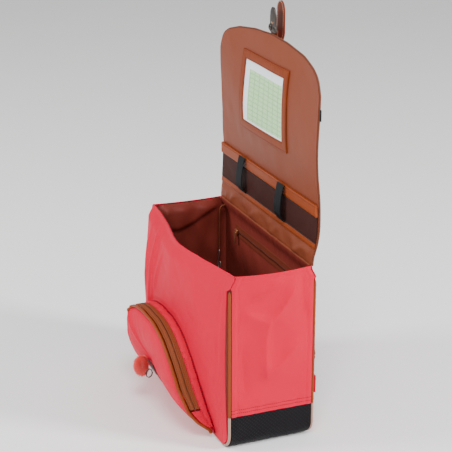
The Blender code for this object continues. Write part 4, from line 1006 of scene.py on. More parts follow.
def side_relief(side, y, z):
    """How far a side panel's folds and hems stand out."""
    reach = half_depth(z)
    settled = ease((reach - np.abs(y)) / 0.018) * ease((BODY_HEIGHT - z) / 0.012)
    settled = settled * ease((z - BASE_HEIGHT) / 0.020)
    relief = creased(side * y, z, SIDE_CREASES) * settled
    relief = relief + 0.0008 * ripple(y, z, 0.045, 5 + side) * settled
    above = z - BASE_HEIGHT
    pucker = np.sin(y / 0.0042 + 2 * ripple(y, z, 0.02, 9)) * ridge(above - 0.009, 0.010)
    relief = relief + 0.00060 * pucker * ease((reach - np.abs(y)) / 0.01)
    for row in BASE_ROWS:
        relief = relief - 0.0007 * ridge(above - row, 0.0014)
    relief = relief + hem_relief(z)
    edge = reach - side_room(z) - np.abs(y)
    return relief + 0.0006 * ridge(edge - 0.0050, 0.0034) - 0.0005 * ridge(edge - 0.0100, 0.0014)


def side_bow(share, z, name):
    """How far a side panel bows out at a share of its depth."""
    return SIDE_BOW * column(SIDE_SECTIONS, z / BODY_HEIGHT, name) * (1 - share * share)


def side_face(share, z, name, side, lift=0.0):
    """Points of a side panel's outer face at shares of its depth, lifted off it."""
    y = share * (half_depth(z) - side_room(z))
    x = BODY_WIDTH / 2 + side_bow(share, z, name) + side_relief(side, y, z) + lift
    return stack(side * x, y, z)


def shell_rows(low_inset, count, top=BODY_HEIGHT):
    """Heights of the rows of a panel with round bottom corners."""
    turn = np.linspace(0, np.pi / 2, 12, endpoint=False)
    corner = CORNER_RADIUS - (CORNER_RADIUS - low_inset) * np.cos(turn)
    return np.concatenate((corner, np.linspace(CORNER_RADIUS, top, count)))


def build_front_panel():
    """Coral front, bulged by its filling, with its folds and hem."""
    z = shell_rows(PIPING_ROOM, 125)[:, None]
    share = np.linspace(-1, 1, 171)
    share = np.sin(share * np.pi / 2) * 0.3 + share * 0.7
    x = share[None] * half_outline(z, face_room(z))
    near = stack(x, front_y(x, z), z)
    item = solid("front_panel_cloth", near, near + np.array((0, CLOTH, 0)), near[..., ::2], "coral")
    dress(item, "coral_nylon", "front_panel")


def build_back_panel():
    """Coral back, flat and stiff."""
    z = shell_rows(PIPING_ROOM, 60)[:, None]
    x = np.linspace(-1, 1, 90)[None] * half_outline(z, face_room(z))
    edge = half_outline(z) - np.abs(x)
    relief = 0.0006 * ripple(x, z, 0.05, 21) * ease(edge / 0.02) * ease((BODY_HEIGHT - z) / 0.01)
    near = stack(x, half_depth(z) + np.clip(relief, -1, 0.0), z)
    item = solid("back_panel_cloth", near, near - np.array((0, CLOTH, 0)), near[..., ::2], "coral")
    dress(item, "coral_nylon", "back_panel")


def build_sides():
    """Coral side panels above the base."""
    z = np.linspace(BASE_HEIGHT + GAP / 2, BODY_HEIGHT, 120)[:, None]
    share = np.linspace(-1, 1, 75)[None]
    for name, side in SIDES:
        near = side_face(share, z, name, side)
        far = side_face(share, z, name, side, -CLOTH)
        item = solid("side_%s_cloth" % name, near, far, near[..., 1:], "coral")
        dress(item, "coral_nylon", "side_" + name)


def build_rim_seam():
    """Rolled hem that joins the panels and the lining round the front and side rims."""
    z = np.full(140, BODY_HEIGHT)
    depth = half_depth(BODY_HEIGHT)
    share = np.linspace(-1, 1, 140)
    rims = []
    for name, side in SIDES:
        y = share[::side] * (depth - 0.0016)
        x = side * (BODY_WIDTH / 2 + side_bow(y / depth, z, name) - SIDE_RIM_RADIUS)
        rims.append((name, stack(x, y, z), SIDE_RIM_RADIUS))
    x = share * (BODY_WIDTH / 2 - 0.0012)
    rims.append(("front", stack(x, front_y(x, z) + 0.0013, z), FRONT_RIM_RADIUS))
    for name, line, radius in rims:
        dress(tube("rim_seam_" + name, line, radius, "coral", sides=10, hint=(0, 0, 1)), "coral_nylon")


def build_panel_stitches():
    """Topstitches: two rows above the base on each side."""
    share = np.linspace(-0.99, 0.99, 90)
    rows = [(side_face(share, np.full(90, BASE_HEIGHT + above), name, side, THREAD_LIFT), (side, 0, 0))
            for name, side in SIDES for above in BASE_ROWS]
    stitches("panel_stitches", rows, 0.0013, 0.0009, "coral_thread_and_shade", "coral_nylon", share=0.75)


def outline_path(inset, top, corner_steps=14, rise_steps=14, floor_steps=60):
    """Points of the U-shaped outline from the left, round the bottom, to the right."""
    radius = CORNER_RADIUS - inset
    centre = BODY_WIDTH / 2 - CORNER_RADIUS
    turn = np.linspace(0, np.pi / 2, corner_steps)
    quarter = np.stack((centre + radius * np.cos(turn), CORNER_RADIUS - radius * np.sin(turn)), -1)
    rise = np.linspace(top, CORNER_RADIUS, rise_steps, endpoint=False)
    right = np.concatenate((np.stack((np.full(rise_steps, BODY_WIDTH / 2 - inset), rise), -1), quarter))
    floor = np.linspace(-centre, centre, floor_steps + 2)[1:-1]
    left = right * np.array((-1, 1))
    return np.concatenate((left, np.stack((floor, np.full(floor_steps, inset)), -1), right[::-1]))


def build_base():
    """Dark base that wraps the bottom and the lower sides."""
    top = BASE_HEIGHT - GAP / 2
    share = np.linspace(-1, 1, 60)[None]
    grids = []
    for inset in (0.0, CLOTH):
        path = outline_path(inset, top)
        x, z = path[:, :1], path[:, 1:]
        y = share * (half_depth(z) - side_room(z))
        soft = ease((z - 0.004) / 0.02) * ease((1 - np.abs(share)) / 0.15)
        dent = 0.0012 * ripple(y, z + x, 0.030, 31) * soft - 0.0004 * ridge(top - z - 0.0035, 0.001)
        grids.append(stack(x + np.sign(x) * dent, y, z))
    along = lengths(outline_path(0.0, top))[:, None]
    uv = stack(along, grids[0][..., 1], 0)
    dress(solid("base_cloth", *grids, uv, "base"), "charcoal_fabric", "base")


def lining_ring(z, inset):
    """Level loops of the lining at heights, inside the panels and the piping."""
    shell = WALL + 2 * GAP + inset
    side_x = half_outline(z, BASE_WALL + 2.5 * GAP + inset)
    corner = 2 * PIPING_RADIUS + 2 * GAP + inset
    corner_x = half_outline(z, corner)
    depth = half_depth(z)
    above_piping = z > 2 * PIPING_RADIUS + 1.5 * GAP
    front_share = np.linspace(-1, 1, 110)[None]
    x = np.clip(front_share * half_outline(z, face_room(z)), GAP - corner_x, corner_x - GAP)
    front = stack(x, np.where(above_piping, front_y(x, z) + shell, corner - depth), z)
    back_share = np.linspace(-1, 1, 90)[None]
    x = -back_share * (corner_x - GAP)
    back = stack(x, depth - np.where(above_piping, shell, corner), z)
    side_share = np.linspace(-1, 1, 52)[None]
    y = side_share * (depth - corner)
    right = stack(side_x + side_bow(side_share, z, "right"), y, z)
    left = stack(-side_x - side_bow(side_share, z, "left"), -y, z)
    return front, right, back, left


def build_lining():
    """Brown lining of the main compartment, with the folds of its slack."""
    floor = BASE_WALL + GAP
    top = BODY_HEIGHT - GAP
    z = np.concatenate(((floor,), shell_rows(PIPING_ROOM, 64)))
    z[-1] = top
    raised = z.copy()
    raised[0] += LINING_WALL
    z, raised = z[:, None], raised[:, None]
    outer = np.concatenate(lining_ring(z, 0.0), axis=1)
    front, right, back, left = lining_ring(raised, LINING_WALL)
    slack = ease((raised - 0.02) / 0.05) * ease((BODY_HEIGHT - raised) / 0.012)
    soft = {}
    for place, (name, wall) in enumerate((("right", right), ("left", left), ("front", front),
                                          ("back", back))):
        run = wall[..., 1] if name in ("right", "left") else wall[..., 0]
        span = np.abs(run).max(axis=1, keepdims=True)
        held = ease((span - np.abs(run)) / 0.02) * slack
        hill = 0.5 + 0.5 * ripple(run + 0.25 * raised, 0.45 * raised, 0.020, 40 + place)
        soft[name] = held * np.clip(hill, 0, 1)
    sag = BODY_HEIGHT - 0.012 - 0.032 * ease((0.056 - left[..., 1]) / 0.085)
    lip = ease((raised - sag + 0.008) / 0.010) * ease((BODY_HEIGHT - raised) / 0.010)
    left[..., 0] += 0.0075 * soft["left"] + 0.0060 * lip * ease((0.062 - np.abs(left[..., 1])) / 0.02)
    right[..., 0] -= 0.0060 * soft["right"]
    front[..., 1] += 0.0050 * soft["front"]
    tucks = np.clip(np.sin(back[..., 0] / 0.0036 + 3 * ripple(back[..., 0], raised, 0.05, 61)), 0, 1)
    tucks = tucks * (0.6 + 0.4 * ripple(back[..., 0], raised * 0, 0.03, 62))
    near_rim = ridge(BODY_HEIGHT - raised - 0.016, 0.014)
    back[..., 1] -= 0.0012 * soft["back"] + 0.0022 * tucks * near_rim
    inner = np.concatenate((front, right, back, left), axis=1)
    turned = np.concatenate((outer[:, 1:], outer[:, :1]), axis=1)
    around = np.cumsum(np.linalg.norm(turned - outer, axis=-1), axis=1)
    item = solid("lining_cloth", outer, inner, stack(around, z, 0), "lining", ring=True)
    dress(item, "brown_lining", "bag_lining")


def build_seam_piping():
    """Piping in the front and back seams, pale where it meets the base."""
    seam_top = BODY_HEIGHT - PIPING_DROP - GAP
    path = outline_path(PIPING_RADIUS, BASE_HEIGHT - GAP, 14, 12, 40)
    z = np.linspace(BASE_HEIGHT + GAP, seam_top, 90)
    swell = 1 + 0.05 * np.sin(z / 0.0021) * ripple(z, z, 0.02, 3)
    taper = np.sqrt(np.clip((seam_top + 0.0002 - z) / 0.006, 0.05, 1))
    for toward, face in ((-1, "front"), (1, "back")):
        low = stack(path[:, 0], toward * (half_depth(path[:, 1]) - PIPING_RADIUS), path[:, 1])
        name = "piping_%s_base" % face
        dress(tube(name + "_tape", low, PIPING_RADIUS, "pale"), "pale_piping", name)
        for hand, end in SIDES:
            line = stack(end * (BODY_WIDTH / 2 - PIPING_RADIUS), toward * (half_depth(z) - PIPING_RADIUS), z)
            name = "piping_%s_%s" % (face, hand)
            item = tube(name + "_tape", line, PIPING_RADIUS * swell * taper, "cognac")
            dress(item, "cognac_trim", name)


# Front pocket

def arch(share, inset=0.0):
    """Places on the pocket's outline, from its left foot over the top to its right foot."""
    angle = np.pi * (1 - np.asarray(share, dtype=float))
    power = 2 / POCKET_SQUARENESS
    cosine, sine = np.cos(angle), np.clip(np.sin(angle), 0, None)
    x = np.sign(cosine) * np.abs(cosine) ** power * (POCKET_WIDTH / 2 - inset)
    return x, POCKET_FOOT + sine ** power * (POCKET_HEIGHT - inset)


def pocket_depth(z):
    """Depth of the pocket's gusset at a height."""
    share = (z - POCKET_FOOT) / POCKET_HEIGHT
    return POCKET_DEPTH * column(POCKET_SECTIONS, share, "depth", 0.03)


def arch_share_at(height):
    """Share along the arch, from its left foot, at which it reaches a height."""
    part = min(max((height - POCKET_FOOT) / POCKET_HEIGHT, 0.0), 1.0)
    return math.asin(part ** (POCKET_SQUARENESS / 2)) / math.pi


def even_shares(start, end, count):
    """Shares along the arch between two of them, at even distances."""
    fine = np.linspace(start, end, 1200)
    x, z = arch(fine)
    at = np.concatenate(((0.0,), np.cumsum(np.hypot(np.diff(x), np.diff(z)))))
    return np.interp(np.linspace(0, at[-1], count), at, fine), np.linspace(0, at[-1], count)


def gusset_point(share, depth_share, inset=0.0):
    """Points of the gusset, 0 at the front panel and 1 at the piping."""
    x, z = arch(share, inset)
    outer_x, outer_z = arch(share)
    usable = pocket_depth(outer_z) - 2.5 * PIPING_RADIUS - GAP
    return stack(x, front_y(outer_x, outer_z) - POCKET_GAP - usable * depth_share, z)


def on_gusset(share, depth_share, lift):
    """Line lifted off the gusset, and the way that it faces."""
    out = gusset_point(share, depth_share, -1) - gusset_point(share, depth_share, 0)
    return gusset_point(share, depth_share, -lift), unit(out)


def gusset_band(name, start, end, near, far, finish, relief):
    """Band of the gusset between two shares along it and two shares of its depth."""
    run = math.pi * POCKET_WIDTH / 2 * (end - start)
    share, along = even_shares(start, end, max(int(run / GUSSET_STEP), 12))
    depth = np.linspace(near, far, 14)[:, None]
    share, along = share[None], along[None]
    height = relief(along, (depth - near) / (far - near))
    outer = gusset_point(share, depth, -height)
    inner = gusset_point(share, depth, CLOTH - height)
    return solid(name, outer, inner, stack(along, depth * POCKET_DEPTH, 0), finish)


def cloth_puckers(along, depth):
    """Puckers of the gusset's coral cloth, between its two seams."""
    pull = ripple(along, along * 0, 0.018, 71)
    body = 0.0014 * np.sin(np.pi * depth)
    lines = 0.0011 * np.sin(along / 0.0032 + 3 * pull + 2 * depth) * ridge(depth - 0.5, 0.45)
    return body + lines * (0.5 + 0.5 * pull)


def end_puckers(along, depth):
    """Slight fullness of the gusset's end pieces."""
    return 0.0010 * np.sin(np.pi * depth) + 0.0003 * np.sin(along / 0.004 + 5 * depth)


def tape_relief(_, depth):
    """Zip tape that rises to the coil at its middle and dips at its seams."""
    middle = 0.0010 * ridge(np.abs(depth - 0.5) - 0.10, 0.05) - 0.0006 * ridge(depth - 0.5, 0.05)
    return middle - 0.0004 * ridge(depth, 0.08) - 0.0004 * ridge(depth - 1, 0.08)


def build_gusset():
    """Gusset with its zip, end pieces and stitches."""
    # A dark thread tube along the seam of the pocket and the front panel: a painted shade line that stands
    # for the shade in the join's groove
    share, _ = even_shares(0.0, 1.0, 220)
    x, z = arch(share, -0.0006)
    seam = stack(x, front_y(x, z) - 0.0007, z)
    dress(tube("pocket_join_painted_shade", seam, 0.0011, "coral_thread_and_shade", sides=8), "coral_nylon")
    foot = arch_share_at(POCKET_FOOT + GUSSET_FOOT_RISE)
    zip_end = arch_share_at(POCKET_FOOT + ZIP_END_HEIGHT)
    rear = 1 - ZIP_SHARE
    clear = GAP / POCKET_HEIGHT
    front = rear + POCKET_GAP / POCKET_DEPTH
    item = gusset_band("gusset_cloth", foot, 1 - foot, 0.0, rear, "coral", cloth_puckers)
    dress(item, "coral_nylon", "pocket_gusset")
    item = gusset_band("zip_tape", zip_end + clear, 1 - zip_end - clear, front, 1.0, "tape", tape_relief)
    dress(item, "cognac_trim", "pocket_zip_tape")
    for name, start, end in (("left", foot, zip_end - clear), ("right", 1 - zip_end + clear, 1 - foot)):
        item = gusset_band("gusset_end_%s_cloth" % name, start, end, front, 1.0, "coral", end_puckers)
        dress(item, "coral_nylon", "pocket_gusset_end_" + name)
    middle = (front + 1) / 2
    share, _ = even_shares(zip_end + 0.003, 1 - zip_end - 0.003, 300)
    tooth = looks().tooth
    beads("pocket_zip_coil", [on_gusset(share, middle, 0.0002)], tooth, (tooth * 0.72, 0.0026, 0.0012),
          "coil", "cognac_trim")
    across = np.linspace(rear + 0.06, 0.96, 30)
    rows = [on_gusset(end, across, 0.0008) for end in (1 - zip_end + 0.006, zip_end - 0.006)]
    for depth, reach in ((0.05, foot), (rear - 0.05, foot), (rear + 0.10, zip_end), (0.95, zip_end),
                         (middle - 0.10, zip_end), (middle + 0.10, zip_end)):
        share, _ = even_shares(reach + 0.004, 1 - reach - 0.004, 300)
        rows.append(on_gusset(share, depth, 0.0004))
    stitches("pocket_coral_stitches", rows[:4], 0.0007, 0.0005, "coral_thread_and_shade", "coral_nylon")
    stitches("pocket_tape_stitches", rows[4:], 0.0007, 0.0005, "cognac_thread", "cognac_trim")


def pocket_edge(share, inset):
    """Front edge of the pocket at shares along the arch."""
    x, z = arch(share, inset)
    outer_x, outer_z = arch(share)
    return stack(x, front_y(outer_x, outer_z) - POCKET_GAP - pocket_depth(outer_z) + PIPING_RADIUS, z)


def pocket_face(points, share):
    """Points of the pocket's front at shares of the way from its middle to its edge."""
    z = POCKET_FOOT + POCKET_HEIGHT / 2
    middle = np.array((0.0, front_y(0.0, z) - POCKET_MIDDLE_DEPTH, z))
    crown = POCKET_CROWN * np.clip(1 - share ** 2.4, 0, None) ** 0.7
    grid = middle + (points[None] - middle) * share[:, None, None]
    grid[..., 1] -= crown[:, None]
    x, z = grid[..., 0], grid[..., 2]
    held = ease((1 - share) / 0.10)[:, None]
    relief = creased(x, z, POCKET_CREASES) + 0.0010 * ripple(x, z, 0.045, 81)
    relief = relief + 0.0002 * ripple(x, z, 0.010, 82)
    rim = ridge((1 - share[:, None]) * 0.11 - 0.006, 0.004)
    grid[..., 1] -= relief * held + 0.0006 * rim
    return grid


def build_pocket_front():
    """Crowned coral front of the pocket, its piping and the pull of its seams."""
    share, _ = even_shares(0.0, 1.0, 150)
    foot_x = np.linspace(1, -1, 70)[1:-1] * (POCKET_WIDTH / 2 - PIPING_ROOM)
    foot = stack(foot_x, front_y(foot_x, POCKET_FOOT) - POCKET_GAP - WALL - GAP, POCKET_FOOT)
    loop = np.concatenate((pocket_edge(share, PIPING_ROOM), foot))
    rings = pocket_face(loop, np.sin(np.linspace(1, 0.02, 60) * np.pi / 2))
    layer = np.concatenate((rings.reshape(-1, 3), rings[-1:].mean(axis=1)))
    points = np.concatenate((layer, layer + np.array((0, CLOTH, 0))))
    second, count = len(layer), len(loop)
    index = np.arange(second - 1).reshape(-1, count)
    quads = quads_of(index, True)
    last = index[-1].tolist()
    fan = np.array([(last[step - 1], last[step], second - 1) for step in range(count)])
    rim = np.append(index[0], 0)
    edge = np.stack((rim[:-1], rim[1:], rim[1:] + second, rim[:-1] + second), axis=-1)
    faces = [row for part in (quads, quads + second, fan, fan + second, edge) for row in part.tolist()]
    item = closed_mesh("pocket_front_cloth", points, faces, points[:, ::2], "coral")
    dress(item, "coral_nylon", "pocket_front")
    share, _ = even_shares(0.0, 1.0, 170)
    item = tube("pocket_piping_tape", pocket_edge(share, PIPING_RADIUS), PIPING_RADIUS * 1.14, "cognac")
    dress(item, "cognac_trim", "pocket_piping")


# Flap

def flap_y(x, rise):
    """Inner face of the flap at a height above the rim."""
    share = rise / FLAP_HEIGHT
    across = np.clip(np.abs(x) / (FLAP_WIDTH / 2), None, 1.0)
    middle = column(FLAP_SECTIONS, share, "middle")
    edge = column(FLAP_SECTIONS, share, "edge")
    hinge = half_depth(BODY_HEIGHT) - WALL - GAP - LINING_WALL
    wave = 0.0010 * ripple(x, rise, 0.075, 91) * ease((rise - 0.10) / 0.05)
    return hinge + FLAP_LEAN * (middle + (edge - middle) * across * across) + wave


def flap_half(rise):
    """Half the flap's width at a height above the rim."""
    return FLAP_WIDTH / 2 * column(FLAP_SECTIONS, rise / FLAP_HEIGHT, "width")


def flap_grid(inset, rows=112, columns=113, start=2 * GAP):
    """Places of the flap's face inside an inset."""
    across = np.sin(np.linspace(-1, 1, columns) * np.pi / 2)[None]
    up = np.linspace(0, 1, rows)[:, None]
    top = FLAP_HEIGHT - FLAP_CORNER_DROP * column(FLAP_OUTLINE, np.abs(across), "drop", 0.02) - inset
    rise = start + (top - start) * up
    return across * (flap_half(rise) - inset), rise


def on_flap(x, rise, front):
    """Points in front of the flap's inner face, at heights above the rim."""
    return stack(x, flap_y(x, rise) - front, BODY_HEIGHT + rise)


def flap_edge(inset):
    """Places round the flap's free edge, inside an inset."""
    return [np.concatenate((grid[:, 0], grid[-1, 1:-1], grid[::-1, -1]))
            for grid in flap_grid(inset, 120, 161)]


def outer_wave(x, rise):
    """Soft waves of the flap's coral face."""
    return np.clip(0.0007 * ripple(x, rise, 0.06, 97), 0, None) * ease((rise - 0.01) / 0.02)


def hinge_relief(x, rise):
    """Folds of the flap's lining between the rim seam and the hem strip."""
    zone = ease(rise / 0.006) * ease((HEM_STRIP_FROM - rise) / 0.010)
    held = ease((FLAP_WIDTH / 2 - np.abs(x)) / 0.02)
    soft = 0.0022 * (0.5 + 0.5 * ripple(x, rise, 0.015, 95))
    fold = creased(x, rise, HINGE_CREASES)
    pull = np.clip(np.sin(x / 0.0024 + 3 * ripple(x, x * 0, 0.03, 98)), 0, 1)
    gathers = 0.0022 * np.clip(pull * ripple(x, rise, 0.02, 99), 0, None) * ridge(rise - 0.005, 0.009)
    folds = np.clip((soft + fold + gathers) * zone * held, 0, None)
    return folds + 0.0006 * ridge(rise - 0.003, 0.0018) * held


def build_flap():
    """Flap's outer, its lining and the thin piping round its edge."""
    inset = 2 * FLAP_PIPING_RADIUS - GAP
    x, rise = flap_grid(inset)
    edge = ridge(flap_half(rise) - inset - np.abs(x), 0.004)
    loose = (0.0005 * ripple(x, rise, 0.030, 96) + 0.0003 * edge) * ease((rise - 0.085) / 0.03)
    near = on_flap(x, rise, np.clip(loose, 0, None) + hinge_relief(x, rise))
    far = on_flap(x, rise, -LINING_WALL)
    item = solid("flap_lining_cloth", near, far, stack(x, rise, 0), "terracotta")
    dress(item, "terracotta_lining", "flap_lining")
    x, rise = flap_grid(2 * FLAP_PIPING_RADIUS + GAP, 80, 81)
    near = on_flap(x, rise, -FLAP_DEPTH - outer_wave(x, rise))
    far = on_flap(x, rise, -LINING_WALL - GAP)
    item = solid("flap_outer_cloth", near, far, stack(x, rise, 0), "coral")
    dress(item, "coral_nylon", "flap_outer")
    line = on_flap(*flap_edge(FLAP_PIPING_RADIUS), -FLAP_DEPTH / 2)
    item = tube("flap_piping_tape", line, FLAP_PIPING_RADIUS, "edging", sides=10)
    dress(item, "brown_mesh", "flap_piping")


def build_flap_stitches():
    """Row of stitches inside the flap's edge, on its coral face."""
    x, rise = flap_edge(0.0085)
    line = on_flap(x, rise, -FLAP_DEPTH - outer_wave(x, rise) - THREAD_LIFT)
    stitches("flap_stitches", [(line, (0, 1, 0))], 0.0009, 0.0006, "coral_thread_and_shade", "coral_nylon")


def build_hinge_seam():
    """Rolled seam of the lining over the back rim, with its stitches."""
    reach = FLAP_WIDTH / 2 * 0.952 - 0.004
    x = np.linspace(-reach, reach, 220)
    level = x * 0
    roll = 0.0019 + 0.0003 * ripple(x, level, 0.012, 121)
    y = flap_y(x, level) - 0.0004 - 0.0003 * ripple(x, level, 0.02, 122)
    line = stack(x, y, BODY_HEIGHT + 0.0002)
    dress(tube("hinge_seam_roll", line, roll, "terracotta", sides=12, hint=(0, 0, 1)), "terracotta_lining")
    row = stack(x, y - roll * 0.75, BODY_HEIGHT - 0.0016)
    stitches("hinge_stitches", [(row, (0, -1, -0.6))], 0.0008, 0.0006, "cognac_thread", "terracotta_lining")


def strip(name, start, height, thickness, finish, relief, slack=0.0, rows=16):
    """Strip across the flap's inner face."""
    part = np.linspace(0, 1, rows)[:, None]
    rise = start + height * part
    across = np.linspace(-1, 1, 180)[None]
    x = across * (flap_half(rise) - 2 * FLAP_PIPING_RADIUS - 2 * GAP)
    front = STRIP_GAP + slack * (1 - across ** 4) * part
    near = on_flap(x, rise, front + thickness + relief(x, part))
    return solid(name, near, on_flap(x, rise, front), stack(x, rise, 0), finish)


def mesh_relief(x, part):
    """Slack of the net between its edges, pulled in at the elastics."""
    held = 1.0
    for place in (ELASTIC_LEFT_X, ELASTIC_RIGHT_X):
        held = held * (1 - 0.8 * ridge(x - place, 0.016))
    return (0.0010 + 0.0009 * ripple(x, part * 0.03, 0.028, 101)) * np.sin(np.pi * part) * held


def folded_edges(_, part):
    """Rounded long edges of a folded binding."""
    return -TRIM_THICKNESS * 0.5 * (ridge(part, 0.10) + ridge(part - 1, 0.10))


def strip_row(rise, front):
    """Line across the flap's strips at a height, in front of its inner face."""
    x = STRIP_SHARES * (flap_half(rise) - 2 * FLAP_PIPING_RADIUS - 3 * GAP)
    return on_flap(x, rise, STRIP_GAP + front)


def build_mesh_pocket():
    """Shallow net pocket on the flap with its hem strip, binding and elastics."""
    item = strip("hem_strip_tape", HEM_STRIP_FROM, HEM_STRIP_HEIGHT, TRIM_THICKNESS, "cognac", folded_edges)
    dress(item, "cognac_trim", "hem_strip")
    net_from = HEM_STRIP_FROM + HEM_STRIP_HEIGHT + GAP
    item = strip("net_cloth", net_from, MESH_HEIGHT, TRIM_THICKNESS, "net", mesh_relief, MESH_SLACK, 30)
    dress(item, "brown_mesh", "mesh_pocket")
    binding_from = net_from + MESH_HEIGHT + GAP
    top = binding_from + BINDING_HEIGHT
    thick = TRIM_THICKNESS + MESH_SLACK
    item = strip("binding_tape", binding_from, BINDING_HEIGHT, thick, "cognac", folded_edges)
    dress(item, "cognac_trim", "mesh_binding")
    build_elastic("left", ELASTIC_LEFT_X, net_from, top)
    build_elastic("right", ELASTIC_RIGHT_X, net_from, top)
    rows = [(strip_row(top - 0.0030, thick + THREAD_LIFT), (0, -1, 0)),
            (strip_row(HEM_STRIP_FROM + 0.0022, TRIM_THICKNESS + THREAD_LIFT), (0, -1, 0))]
    stitches("binding_stitches", rows, 0.0007, 0.0005, "cognac_thread", "cognac_trim")
    for place, rise, slack in (("low", net_from + 0.0006, 0.0),
                               ("high", net_from + MESH_HEIGHT - 0.0008, MESH_SLACK)):
        line = strip_row(rise, TRIM_THICKNESS + slack * (1 - STRIP_SHARES ** 4))
        dress(tube("net_edge_" + place, line, 0.0008, "net_edge", sides=8), "brown_mesh")


def build_elastic(name, x, low, high):
    """Elastic loop that stands off the net, with its stitched ends."""
    part = np.linspace(0, 1, 60)
    rise = high - (high - low) * part
    slack = np.where(part > 0.5, MESH_SLACK * ease((1 - part) * 4), MESH_SLACK)
    bow = np.sin(np.pi * part) ** 0.6 * (0.55 + 0.45 * part)
    stand = TRIM_THICKNESS + slack + 3.2 * GAP + ELASTIC_THICKNESS / 2 + ELASTIC_BULGE * bow
    width = ELASTIC_WIDTH / 2 * (1 - 0.05 * np.sin(np.pi * part))
    item = strap("elastic_%s_band" % name, on_flap(x, rise, stand), width, ELASTIC_THICKNESS / 2,
                 (0, -1, 0), "elastic")
    dress(item, "black_elastic", "elastic_" + name)


def window_loop(inward):
    """Places round the window at a share of its border inwards, and how far up each is."""
    ends = np.array(((-1, -1), (1, -1), (1, 1), (-1, 1), (-1, -1)), dtype=float)
    spots = np.concatenate([start + (end - start) * WINDOW_SHARES[:, None]
                            for start, end in zip(ends, ends[1:])])
    x = spots[:, 0] * (WINDOW_WIDTH / 2 - FRAME_BORDER * inward)
    rise = WINDOW_FROM + WINDOW_HEIGHT / 2 + spots[:, 1] * (WINDOW_HEIGHT / 2 - FRAME_BORDER * inward)
    return x, rise, spots[:, 1]


def build_window():
    """Window frame with a clear film over a timetable card."""
    along = np.concatenate([length * WINDOW_SHARES for length in (WINDOW_WIDTH, WINDOW_HEIGHT) * 2])
    grid, uv = [], []
    for inward, height in FRAME_PROFILE:
        x, rise, up = window_loop(inward)
        pucker = 0.00035 * np.sin(along / 0.0016 + 9 * inward) * ridge(inward - 0.5, 0.35)
        pucker = pucker * (0.4 + 0.6 * (up > 0.9)) * (height > 0 and 0 < inward < 1)
        grid.append(on_flap(x, rise, WINDOW_GAP + FRAME_THICKNESS * height + pucker))
        uv.append(stack(along, inward * FRAME_BORDER, 0))
    index = np.arange(len(grid) * len(along)).reshape(len(grid), len(along))
    faces = quads_of(np.concatenate((index, index[:1])), True).tolist()
    dress(closed_mesh("window_frame_leather", grid, faces, uv, "frame"), "cognac_leather", "window_frame")
    front = WINDOW_GAP + CARD_THICKNESS
    patch("timetable_card_paper", front, CARD_THICKNESS, "paper", "timetable_paper", "timetable_card")
    patch("window_film_sheet", front + GAP + FILM_THICKNESS, FILM_THICKNESS, "film", "clear_film",
          "window_film")
    rows = []
    for inward in (0.13, 0.88):
        x, rise, _ = window_loop(inward)
        line = on_flap(x, rise, WINDOW_GAP + FRAME_THICKNESS * 0.97)
        rows.append((np.concatenate((line, line[:1])), (0, -1, 0)))
    stitches("window_stitches", rows, 0.0006, 0.0005, "cognac_thread", "cognac_leather", share=0.7)


def patch(name, front, thickness, finish, slot, node):
    """Sheet in the window that follows the flap's inner face, with a UV map from 0 to 1."""
    across, up = np.linspace(-1, 1, 40)[None], np.linspace(0, 1, 30)[:, None]
    border = FRAME_BORDER + GAP
    x = across * (WINDOW_WIDTH / 2 - border)
    rise = WINDOW_FROM + border + (WINDOW_HEIGHT - 2 * border) * up
    item = solid(name, on_flap(x, rise, front), on_flap(x, rise, front - thickness),
                 stack((across + 1) / 2, up, 0), finish)
    return dress(item, slot, node)


# Metal, leather and cord pieces

def merged_mesh(node, name):
    """Copy of a solid's mesh with its corners merged and no material."""
    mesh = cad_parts[node].data.copy()
    mesh.name = name
    mesh.materials.clear()
    with editing(mesh) as bm:
        bmesh.ops.remove_doubles(bm, verts=bm.verts, dist=MERGE_DISTANCE)
    return mesh


def refined(node, finish, slot, bevel, levels=0):
    """Copy of a solid, merged, with its edges rounded."""
    mesh = merged_mesh(node, node + "_finished")
    with editing(mesh) as bm:
        bmesh.ops.dissolve_limit(bm, angle_limit=math.radians(3), verts=bm.verts, edges=bm.edges)
    item = link_mesh(mesh.name, mesh, finish)
    if bevel:
        rounding = item.modifiers.new("Rounding", "BEVEL")
        rounding.width = bevel
        rounding.segments = 3
        rounding.limit_method = "ANGLE"
        rounding.angle_limit = math.radians(35)
    if levels:
        subdivision = item.modifiers.new("Subdivision", "SUBSURF")
        subdivision.levels = subdivision.render_levels = levels
    flatten(item)
    item.data.shade_smooth()
    item.data.set_sharp_from_angle(angle=math.radians(50))
    return dress(item, slot, node)


def middle_of(node):
    """Centre of a solid's box."""
    low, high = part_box(node)
    return (np.array(low) + np.array(high)) / 2


def disc(name, centre, radius, height, finish, slot):
    """Domed rivet head that faces the front."""
    turn = Matrix.Rotation(math.radians(90), 4, "X")
    place = Matrix.Translation(Vector(centre)) @ turn @ Matrix.Diagonal((radius, radius, height, 1))
    mesh = bpy.data.meshes.new(name)
    with editing(mesh) as bm:
        bmesh.ops.create_uvsphere(bm, u_segments=20, v_segments=12, radius=1.0, matrix=place)
    return dress(link_mesh(name, mesh, finish), slot)


def build_zip_metal():
    """Sliders and pulls of the pocket's zip and of the inner zip."""
    for piece, finish in (("pocket", "metal"), ("inner", "copper")):
        refined(piece + "_zip_slider", finish, "gunmetal", 0.0012)
        refined(piece + "_zip_pull", finish, "gunmetal", 0.0005)


def build_clasp():
    """Webbing, plate and wire loop that take the flap's clasp."""
    refined("clasp_webbing", "webbing", "grey_webbing", 0.0005)
    refined("clasp_plate", "metal", "gunmetal", 0.0008)
    refined("clasp_loop", "metal", "gunmetal", 0.0, levels=1)


